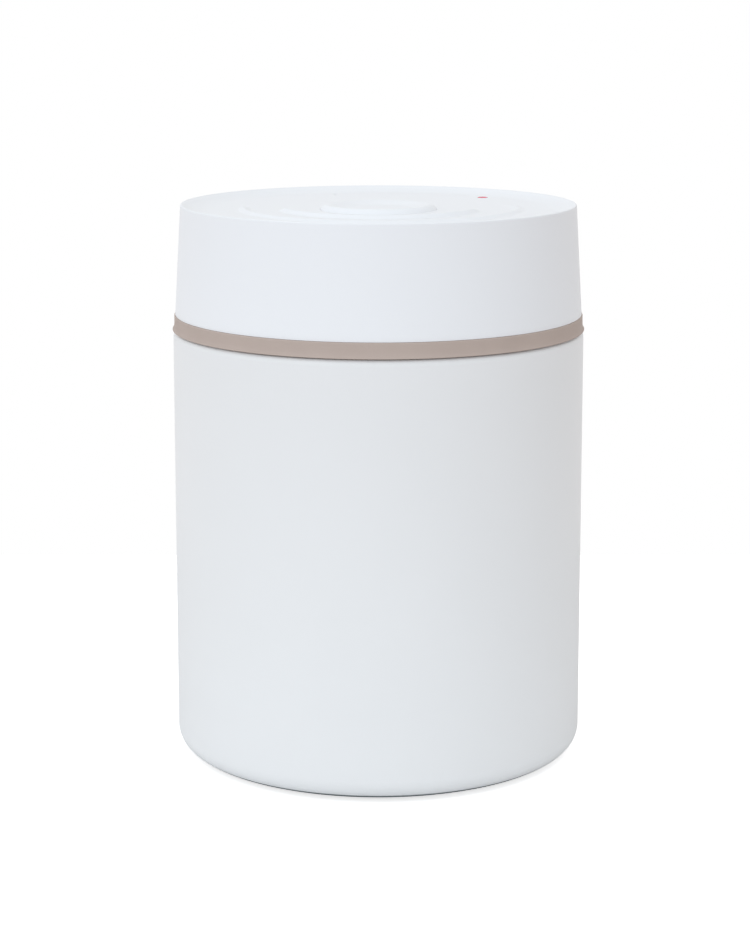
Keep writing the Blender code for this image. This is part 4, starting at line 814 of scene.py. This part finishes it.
def cover_profile():
    """Section of the cover: hole edge, dish, rim, skirt and the inside of the wall."""
    hole = BUTTON_RADIUS + BUTTON_GAP
    start = hole + HOLE_EDGE
    profile = arc((start, DISH_LEVEL - HOLE_EDGE), HOLE_EDGE, 180, 90, FINE_STEPS)
    for row in range(1, DISH_ROWS + 1):
        profile.append((start + (DISH_FLOOR_RADIUS - start) * row / DISH_ROWS, DISH_LEVEL))
    rim = (RIM_RADIUS - RIM_ROUND, RIM_LEVEL - RIM_ROUND)
    rim_arc = arc(rim, RIM_ROUND, RIM_START, 0, RIM_STEPS)
    slope_end = rim_arc[0]
    for row in range(1, SLOPE_ROWS):
        share = row / SLOPE_ROWS
        radius = DISH_FLOOR_RADIUS + share * (slope_end[0] - DISH_FLOOR_RADIUS)
        profile.append((radius, DISH_LEVEL + share * share * (slope_end[1] - DISH_LEVEL)))
    profile += rim_arc
    for row in range(1, SKIRT_ROWS):
        share = row / SKIRT_ROWS
        profile.append((RIM_RADIUS + share * LID_DRAFT, rim[1] + share * (SKIRT_BOTTOM - rim[1])))
    edge = (SKIRT_RADIUS - SKIRT_EDGE, SKIRT_BOTTOM + SKIRT_EDGE)
    profile += arc(edge, SKIRT_EDGE, 0, -90, FINE_STEPS)
    inner_top = RIM_RADIUS - COVER_WALL
    profile.append((SKIRT_RADIUS - COVER_WALL, SKIRT_BOTTOM))
    profile += [(inner_top, COVER_UNDERSIDE - CORNER_BREAK)]
    profile += [(inner_top - CORNER_BREAK, COVER_UNDERSIDE)]
    collar, collar_low = hole + COLLAR_WIDTH, COVER_UNDERSIDE - COLLAR_DEPTH
    profile += [(collar + COLLAR_DEPTH, COVER_UNDERSIDE), (collar, collar_low), (hole, collar_low)]
    return profile


def slot_outline(width, height, centre):
    """A slot with round ends, standing in the XZ plane about centre."""
    radius = height / 2
    reach = width / 2 - radius
    points = []
    for side, start in ((1, -90), (-1, 90)):
        for x, z in arc((side * reach, 0), radius, start, start + 180, SLOT_STEPS):
            points.append((centre[0] + x, centre[1], centre[2] + z))
    return points


window_low, window_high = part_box("lamp_window")
LAMP_RADIUS = 0.0014
LAMP_GAP = 0.00012
lamp_centre = Vector(((window_low.x + window_high.x) / 2, (window_low.y + window_high.y) / 2, 0))
VENT_ANGLE = math.radians(107)
VENT_RADIUS = 0.0005
VENT_CIRCLE = DISH_FLOOR_RADIUS - 0.0035
socket_low, socket_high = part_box("charge_socket")
PORT_GAP = 0.0003
socket_middle = (socket_low + socket_high) / 2


def cover_cuts():
    """The lamp's hole, the exhaust pinhole and the charging slot."""
    bm = bmesh.new()
    low = Vector((0, 0, COVER_UNDERSIDE - CORNER_BREAK))
    high = Vector((0, 0, RIM_LEVEL + CORNER_BREAK))
    add_rod(bm, lamp_centre + low, lamp_centre + high, LAMP_RADIUS + LAMP_GAP)
    vent = Vector((VENT_CIRCLE * math.cos(VENT_ANGLE), VENT_CIRCLE * math.sin(VENT_ANGLE), 0))
    add_rod(bm, vent + low, vent + high, VENT_RADIUS, HOLE_SIDES)
    width = socket_high.x - socket_low.x + 2 * PORT_GAP
    height = socket_high.z - socket_low.z + 2 * PORT_GAP
    start = (0, RIM_RADIUS - 2 * COVER_WALL, socket_middle.z)
    add_prism(bm, slot_outline(width, height, start), (0, 4 * COVER_WALL, 0))
    return cutter("cover_cuts", bm)


def white_plastic():
    """Satin white moulding, a touch cooler and smoother than the jar's coat."""
    material, nodes, links, shader = new_material("white_plastic", linear(235, 238, 242), 0.4)
    spark = grain(nodes, links, 4200, 3.0)
    flow = grain(nodes, links, 24)
    tint(nodes, links, shader, flow, linear(234, 237, 241), linear(236, 239, 243))
    patchy(nodes, links, shader, spark, 0.34, 0.46)
    relief(nodes, links, shader, ((spark, 0.14),), 0.00003)
    shader.inputs["Specular IOR Level"].default_value = 0.3
    return material


def rippled_cover():
    """Spin the cover's section and raise the ripples from the dish floor."""
    bm = spun_mesh(cover_profile())
    for vert in bm.verts:
        if abs(vert.co.z - DISH_LEVEL) < WELD:
            across = vert.co.x - RIPPLE_SHIFT
            angle = math.degrees(math.atan2(vert.co.y, across))
            vert.co.z += ripple_rise(math.hypot(across, vert.co.y), angle)
    return bm


satin_white = white_plastic()
cover = piece("rippled_cover", rippled_cover(), satin_white)
carve(cover, cover_cuts())
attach(cover, "lid")
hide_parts("lid_cover")

# The button
# Round push button in the same white moulding: a soft crest round a thumb dish, sunk in the dish
# with a hair-thin gap all round. Its stem reaches down through the board to the release pin, and a
# rubber dome ring on the board lifts it again.

CREST_SHARE = 0.88
THUMB_SHARE = 0.53
CREST_DROP = 0.0003
THUMB_DROP = 0.0014
BUTTON_WALL = 0.0016
STEM_RADIUS = 0.003
RING_RADIUS = 0.01
RING_WIDTH = 0.0016
FLANGE_THICKNESS = 0.0013
BUTTON_SIDES = 192
CREST_ROWS = 10
THUMB_ROWS = 20
dome_low, dome_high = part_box("button_dome")


def button_profile():
    """Section of the button from the stem's end round the flange to the thumb dish."""
    crest = CREST_SHARE * BUTTON_RADIUS
    crest_z = RIM_LEVEL - CREST_DROP
    thumb_z = RIM_LEVEL - THUMB_DROP
    flange_top = COVER_UNDERSIDE - COLLAR_DEPTH - GROOVE_GAP
    flange_low = flange_top - FLANGE_THICKNESS
    ceiling = thumb_z - BUTTON_WALL
    ring_low = dome_high.z + GROOVE_GAP
    inside = BUTTON_RADIUS - BUTTON_WALL
    profile = [(0, button_low.z), (STEM_RADIUS, button_low.z), (STEM_RADIUS, ceiling)]
    ring_in, ring_out = RING_RADIUS - RING_WIDTH / 2, RING_RADIUS + RING_WIDTH / 2
    profile += [(ring_in, ceiling), (ring_in, ring_low), (ring_out, ring_low), (ring_out, ceiling)]
    profile += [(inside, ceiling), (inside, flange_low), (button_high.x, flange_low)]
    profile += [(button_high.x, flange_top), (BUTTON_RADIUS, flange_top)]
    profile.append((BUTTON_RADIUS, DISH_LEVEL))
    for row in range(1, CREST_ROWS + 1):
        share = row / CREST_ROWS
        rise = math.sin(share * math.pi / 2) * (crest_z - DISH_LEVEL)
        profile.append((BUTTON_RADIUS - share * (BUTTON_RADIUS - crest), DISH_LEVEL + rise))
    flat = THUMB_SHARE * BUTTON_RADIUS
    for row in range(1, THUMB_ROWS + 1):
        share = row / THUMB_ROWS
        fall = eased(share) * (thumb_z - crest_z)
        profile.append((crest + share * (flat - crest), crest_z + fall))
    profile.append((0, thumb_z))
    return profile


DOME_WALL = 0.001
DOME_RIM = 0.0012
DOME_EDGE = 0.0002
WEB_ANGLE = 60


def dome_profile():
    """Section of the dome: a foot ring, a sloping web and a thick crown."""
    foot_in = dome_high.x - DOME_RIM
    crown_in, crown_out = RING_RADIUS - DOME_RIM, RING_RADIUS + DOME_RIM
    crown_top = dome_high.z - DOME_EDGE
    shoulder = dome_high.z - DOME_WALL
    foot_edge = (dome_high.x - DOME_EDGE, dome_low.z + DOME_WALL - DOME_EDGE)
    profile = [(foot_in, dome_low.z), (dome_high.x, dome_low.z)]
    profile += arc(foot_edge, DOME_EDGE, 0, WEB_ANGLE, FINE_STEPS)
    profile.append((crown_out, shoulder + DOME_WALL / 2))
    profile += arc((crown_out - DOME_EDGE, crown_top), DOME_EDGE, 0, 90, FINE_STEPS)
    profile += arc((crown_in + DOME_EDGE, crown_top), DOME_EDGE, 90, 180, FINE_STEPS)
    profile += [(crown_in, shoulder), (foot_in, dome_low.z + DOME_WALL / 2)]
    return profile


button = turned("push_button", button_profile(), satin_white, BUTTON_SIDES)
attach(button, "button")
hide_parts("button_cap")
dome = turned("rubber_dome", dome_profile(), dark_rubber, SMALL_SIDES)
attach(dome, "lid")
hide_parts("button_dome")
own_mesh(dome)

# The lamp window
# Red-tinted clear plastic light pipe, pushed up into its hole from inside until only its low domed
# lens stands above the dish. Under it a small lamp sits on the board.


def red_window():
    """Clear red plastic, glossy, with a little light scattered in it."""
    material, nodes, links, shader = new_material("red_window", linear(214, 66, 98), 0.22)
    cloud = grain(nodes, links, 1500)
    tint(nodes, links, shader, cloud, linear(206, 58, 90), linear(222, 76, 106))
    patchy(nodes, links, shader, cloud, 0.16, 0.28)
    shader.inputs["Subsurface Weight"].default_value = 0.2
    shader.inputs["Subsurface Radius"].default_value = (0.001, 0.0003, 0.0003)
    return material


LENS_RISE = 0.0002
LENS_STEPS = 8
PIPE_FLANGE = 0.0012


def window_profile():
    """Section of the light pipe with its holding flange and its low domed lens."""
    flange_top = COVER_UNDERSIDE - PORT_GAP
    flange_radius = (window_high.x - window_low.x) / 2
    profile = [(0, window_low.z), (LAMP_RADIUS, window_low.z)]
    profile += [(LAMP_RADIUS, flange_top - PIPE_FLANGE), (flange_radius, flange_top - PIPE_FLANGE)]
    profile += [(flange_radius, flange_top), (LAMP_RADIUS, flange_top)]
    for radius, rise in arc((0, 0), LAMP_RADIUS, 0, 90, LENS_STEPS)[:-1]:
        profile.append((radius, window_high.z + rise * LENS_RISE / LAMP_RADIUS))
    profile.append((0, window_high.z + LENS_RISE))
    return profile


window = turned("red_lens", window_profile(), red_window(), ROD_SIDES, lamp_centre)
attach(window, "lid")
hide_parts("lamp_window")

# The charging socket
# Drawn steel shell on the board's tongue, open to the rear through the cover's slot. In it a black
# tongue carries two rows of gold contacts.

SOCKET_WALL = 0.0003
SOCKET_BACK = 0.0012
TONGUE_HALF_WIDTH = 0.0033
TONGUE_HALF_HEIGHT = 0.00035
TONGUE_SETBACK = 0.0012
CONTACTS = 12
CONTACT_PITCH = 0.0005
CONTACT_HALF_WIDTH = 0.00013
CONTACT_LENGTH = 0.0035
CONTACT_RISE = 0.00004


def add_block(bm, low, high):
    """A box between two corners."""
    outline = [(low[0], low[1], low[2]), (high[0], low[1], low[2])]
    outline += [(high[0], high[1], low[2]), (low[0], high[1], low[2])]
    add_prism(bm, outline, (0, 0, high[2] - low[2]))


def gold_contacts():
    """Hard gold plating, worn a little rougher where plugs rub it."""
    material, nodes, links, shader = new_material("contact_gold", linear(226, 184, 104), 0.28, 1.0)
    wear = grain(nodes, links, 2600)
    tint(nodes, links, shader, wear, linear(218, 174, 94), linear(232, 192, 114))
    patchy(nodes, links, shader, wear, 0.22, 0.4)
    return material


def socket_mesh(inset=0, back=0):
    """A slot with round ends run along Y: the shell's outside or, inset from it, its hollow."""
    bm = bmesh.new()
    width = socket_high.x - socket_low.x - 2 * inset
    height = socket_high.z - socket_low.z - 2 * inset
    start = (0, socket_low.y + back, socket_middle.z)
    add_prism(bm, slot_outline(width, height, start), (0, socket_high.y - socket_low.y, 0))
    return bm


black_plastic = moulded("black_plastic", linear(34, 34, 35), linear(42, 42, 43), 0.5)
socket = piece("socket_shell", socket_mesh(), plated)
carve(socket, cutter("socket_hollow", socket_mesh(SOCKET_WALL, SOCKET_BACK)))
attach(socket, "lid")
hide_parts("charge_socket")

tongue_bm = bmesh.new()
tongue_front = socket_high.y - TONGUE_SETBACK
add_block(
    tongue_bm,
    (-TONGUE_HALF_WIDTH, socket_low.y + SOCKET_BACK, socket_middle.z - TONGUE_HALF_HEIGHT),
    (TONGUE_HALF_WIDTH, tongue_front, socket_middle.z + TONGUE_HALF_HEIGHT),
)
tongue = piece("socket_tongue", tongue_bm, black_plastic)
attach(tongue, "lid")

contact_bm = bmesh.new()
for side in (-1, 1):
    face = socket_middle.z + side * TONGUE_HALF_HEIGHT
    bottom, top = sorted((face, face + side * CONTACT_RISE))
    for contact in range(CONTACTS):
        x = (contact - (CONTACTS - 1) / 2) * CONTACT_PITCH
        low = (x - CONTACT_HALF_WIDTH, tongue_front - CONTACT_LENGTH, bottom)
        high = (x + CONTACT_HALF_WIDTH, tongue_front - SOCKET_WALL, top)
        add_block(contact_bm, low, high)
contacts = piece("socket_contacts", contact_bm, gold_contacts())
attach(contacts, "lid")

# The pieces inside the lid
# Bought-in and moulded parts on the tray: pump, cell, valves, board and screws. They keep the
# shapes that the frame gives them and take a finish each.


def solder_mask():
    """Green board lacquer with the faint relief of tracks under it."""
    material, nodes, links, shader = new_material("solder_mask", linear(22, 92, 52), 0.35)
    weave = grain(nodes, links, 1200)
    tint(nodes, links, shader, weave, linear(18, 84, 46), linear(28, 102, 60))
    relief(nodes, links, shader, ((weave, 0.2),), 0.00005)
    return material


def shrink_sleeve():
    """Blue shrink film on the cell, glossy and very slightly wavy."""
    material, nodes, links, shader = new_material("shrink_sleeve", linear(40, 78, 150), 0.3)
    wave = grain(nodes, links, 160)
    tint(nodes, links, shader, wave, linear(36, 72, 142), linear(46, 86, 160))
    relief(nodes, links, shader, ((wave, 0.3),), 0.0001)
    return material


clear_silicone = silicone("clear_silicone", linear(212, 214, 214), linear(222, 224, 224), 0.45)
foam = silicone("foam", linear(48, 48, 50), linear(62, 62, 64), 0.9)
lead_sleeve = moulded("lead_sleeve", linear(168, 28, 30), linear(182, 36, 36), 0.4)
finishes = {
    grey_plastic: ("valve_cap",),
    dark_rubber: ("pump_diaphragm",),
    clear_silicone: ("suction_hose", "check_valve", "status_lamp"),
    black_plastic: ("crankcase", "pump_head"),
    plated: (
        "motor", "crank", "pump_clamp",
        "cover_screw_1", "cover_screw_2", "cover_screw_3", "cover_screw_4",
        "board_screw_1", "board_screw_2", "board_screw_3", "clamp_screw_1", "clamp_screw_2",
    ),
    steel: ("filter_sheet",),
    solder_mask(): ("circuit_board",),
    shrink_sleeve(): ("battery_cell",),
    foam: ("battery_pad",),
    lead_sleeve: ("battery_lead", "motor_lead"),
}
for material, names in finishes.items():
    for name in names:
        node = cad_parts[name]
        if not node.material_slots:
            node.data.materials.append(material)
        for place in node.material_slots:
            place.material = material

# The floor, the light and the camera
# A small white table in a pale room with soft banks of light at its front, left and back, and one
# weak softbox. The camera looks down a little, as the photographer's did.

FLOOR_HALF = 0.21
PAPER_WHITE = 0.88
PAPER_GLOW = 0.7


def floor_finish():
    """White paper that shows white to the camera and still keeps a soft shadow."""
    material = bpy.data.materials.new("white_paper")
    material.use_nodes = True
    nodes, links = material.node_tree.nodes, material.node_tree.links
    nodes.clear()
    out = nodes.new("ShaderNodeOutputMaterial")
    paper = nodes.new("ShaderNodeBsdfDiffuse")
    paper.inputs["Color"].default_value = (PAPER_WHITE, PAPER_WHITE, PAPER_WHITE, 1)
    glow = nodes.new("ShaderNodeEmission")
    glow.inputs["Color"].default_value = (1, 1, 1, 1)
    glow.inputs["Strength"].default_value = PAPER_GLOW
    both = nodes.new("ShaderNodeAddShader")
    path = nodes.new("ShaderNodeLightPath")
    pick = nodes.new("ShaderNodeMixShader")
    links.new(paper.outputs[0], both.inputs[0])
    links.new(glow.outputs[0], both.inputs[1])
    links.new(path.outputs["Is Camera Ray"], pick.inputs[0])
    links.new(paper.outputs[0], pick.inputs[1])
    links.new(both.outputs[0], pick.inputs[2])
    links.new(pick.outputs[0], out.inputs["Surface"])
    return material


floor_bm = bmesh.new()
bmesh.ops.create_grid(floor_bm, x_segments=1, y_segments=1, size=FLOOR_HALF)
floor = piece("floor", floor_bm, floor_finish())

ROOM_ABOVE = (0.605, 0.57, 0.54)
ROOM_BELOW = (0.39, 0.315, 0.28)
BANKS = (
    ((0, -0.866, 0.5), (0.49, 0.565, 0.63), 1),
    ((-0.866, 0, 0.5), (0.305, 0.34, 0.368), 1),
    ((0, 0.966, 0.259), (0.12, 0.11, 0.125), 4),
)
HORIZON_BLUR = 0.05


def bank_glow(nodes, links, where, direction, color, narrowness):
    """One wide, soft-edged bank of light in the room, centred on a direction."""
    towards = nodes.new("ShaderNodeVectorMath")
    towards.operation = "DOT_PRODUCT"
    towards.inputs[1].default_value = direction
    facing = nodes.new("ShaderNodeMath")
    facing.operation = "MAXIMUM"
    facing.inputs[1].default_value = 0
    fall = nodes.new("ShaderNodeMath")
    fall.operation = "POWER"
    fall.inputs[1].default_value = narrowness
    glow = nodes.new("ShaderNodeVectorMath")
    glow.operation = "SCALE"
    glow.inputs[0].default_value = color
    links.new(where, towards.inputs[0])
    links.new(towards.outputs["Value"], facing.inputs[0])
    links.new(facing.outputs[0], fall.inputs[0])
    links.new(fall.outputs[0], glow.inputs["Scale"])
    return glow.outputs["Vector"]


def surround():
    """A pale room with its banks of light; cameras, mirrors and clear pieces see pure white."""
    world = bpy.data.worlds.new("studio")
    world.use_nodes = True
    bpy.context.scene.world = world
    nodes, links = world.node_tree.nodes, world.node_tree.links
    nodes.clear()
    out = nodes.new("ShaderNodeOutputWorld")
    where = nodes.new("ShaderNodeTexCoord").outputs["Generated"]
    height = nodes.new("ShaderNodeSeparateXYZ")
    above = nodes.new("ShaderNodeMapRange")
    above.inputs["From Min"].default_value = -HORIZON_BLUR
    above.inputs["From Max"].default_value = HORIZON_BLUR
    halves = nodes.new("ShaderNodeMix")
    halves.data_type = "VECTOR"
    halves.inputs["A"].default_value = ROOM_BELOW
    halves.inputs["B"].default_value = ROOM_ABOVE
    links.new(where, height.inputs[0])
    links.new(height.outputs["Z"], above.inputs["Value"])
    links.new(above.outputs["Result"], halves.inputs["Factor"])
    total = halves.outputs["Result"]
    for direction, color, narrowness in BANKS:
        add = nodes.new("ShaderNodeVectorMath")
        links.new(total, add.inputs[0])
        links.new(bank_glow(nodes, links, where, direction, color, narrowness), add.inputs[1])
        total = add.outputs["Vector"]
    room = nodes.new("ShaderNodeBackground")
    white = nodes.new("ShaderNodeBackground")
    white.inputs["Color"].default_value = (1, 1, 1, 1)
    path = nodes.new("ShaderNodeLightPath")
    looking = path.outputs["Is Camera Ray"]
    for ray in ("Is Glossy Ray", "Is Transmission Ray"):
        either = nodes.new("ShaderNodeMath")
        either.operation = "MAXIMUM"
        links.new(looking, either.inputs[0])
        links.new(path.outputs[ray], either.inputs[1])
        looking = either.outputs[0]
    pick = nodes.new("ShaderNodeMixShader")
    links.new(total, room.inputs["Color"])
    links.new(looking, pick.inputs[0])
    links.new(room.outputs[0], pick.inputs[1])
    links.new(white.outputs[0], pick.inputs[2])
    links.new(pick.outputs[0], out.inputs["Surface"])


def softbox(name, place, aim, size, watts, color):
    """A square softbox turned towards a point."""
    light = bpy.data.lights.new(name, "AREA")
    light.shape = "SQUARE"
    light.size = size
    light.energy = watts
    light.color = color
    obj = bpy.data.objects.new(name, light)
    obj.location = place
    obj.rotation_mode = "QUATERNION"
    obj.rotation_quaternion = (Vector(aim) - Vector(place)).to_track_quat("-Z", "Y")
    bpy.context.scene.collection.objects.link(obj)


surround()
KEY_PLACE = (-0.85, -1.15, 0.85)
KEY_SIZE = 0.7
KEY_WATTS = 1.14
KEY_COLOR = (1.0, 0.995, 0.985)
softbox("key_light", KEY_PLACE, (0, 0, RIM_LEVEL / 2), KEY_SIZE, KEY_WATTS, KEY_COLOR)

PHOTO_HEIGHT = 938
FOCAL_PIXELS = 2401.4
SENSOR = 36.0
CAMERA_DISTANCE = 11.626 * BODY_RADIUS
CAMERA_HEIGHT = 3.828 * BODY_RADIUS
CAMERA_PITCH = math.radians(9.629)
AXIS_OFFSET = 3.45
LENS_SHIFT = -0.1
camera_data = bpy.data.cameras.new("camera")
camera_data.sensor_width = SENSOR
camera_data.lens = FOCAL_PIXELS / PHOTO_HEIGHT * SENSOR
camera_data.shift_y = LENS_SHIFT
camera_data.clip_start = 0.01
camera = bpy.data.objects.new("camera", camera_data)
camera.location = (-AXIS_OFFSET / FOCAL_PIXELS * CAMERA_DISTANCE, -CAMERA_DISTANCE, CAMERA_HEIGHT)
camera.rotation_euler = (math.pi / 2 - CAMERA_PITCH, 0, 0)
bpy.context.scene.collection.objects.link(camera)
bpy.context.scene.camera = camera
bpy.context.scene.view_settings.view_transform = "Standard"
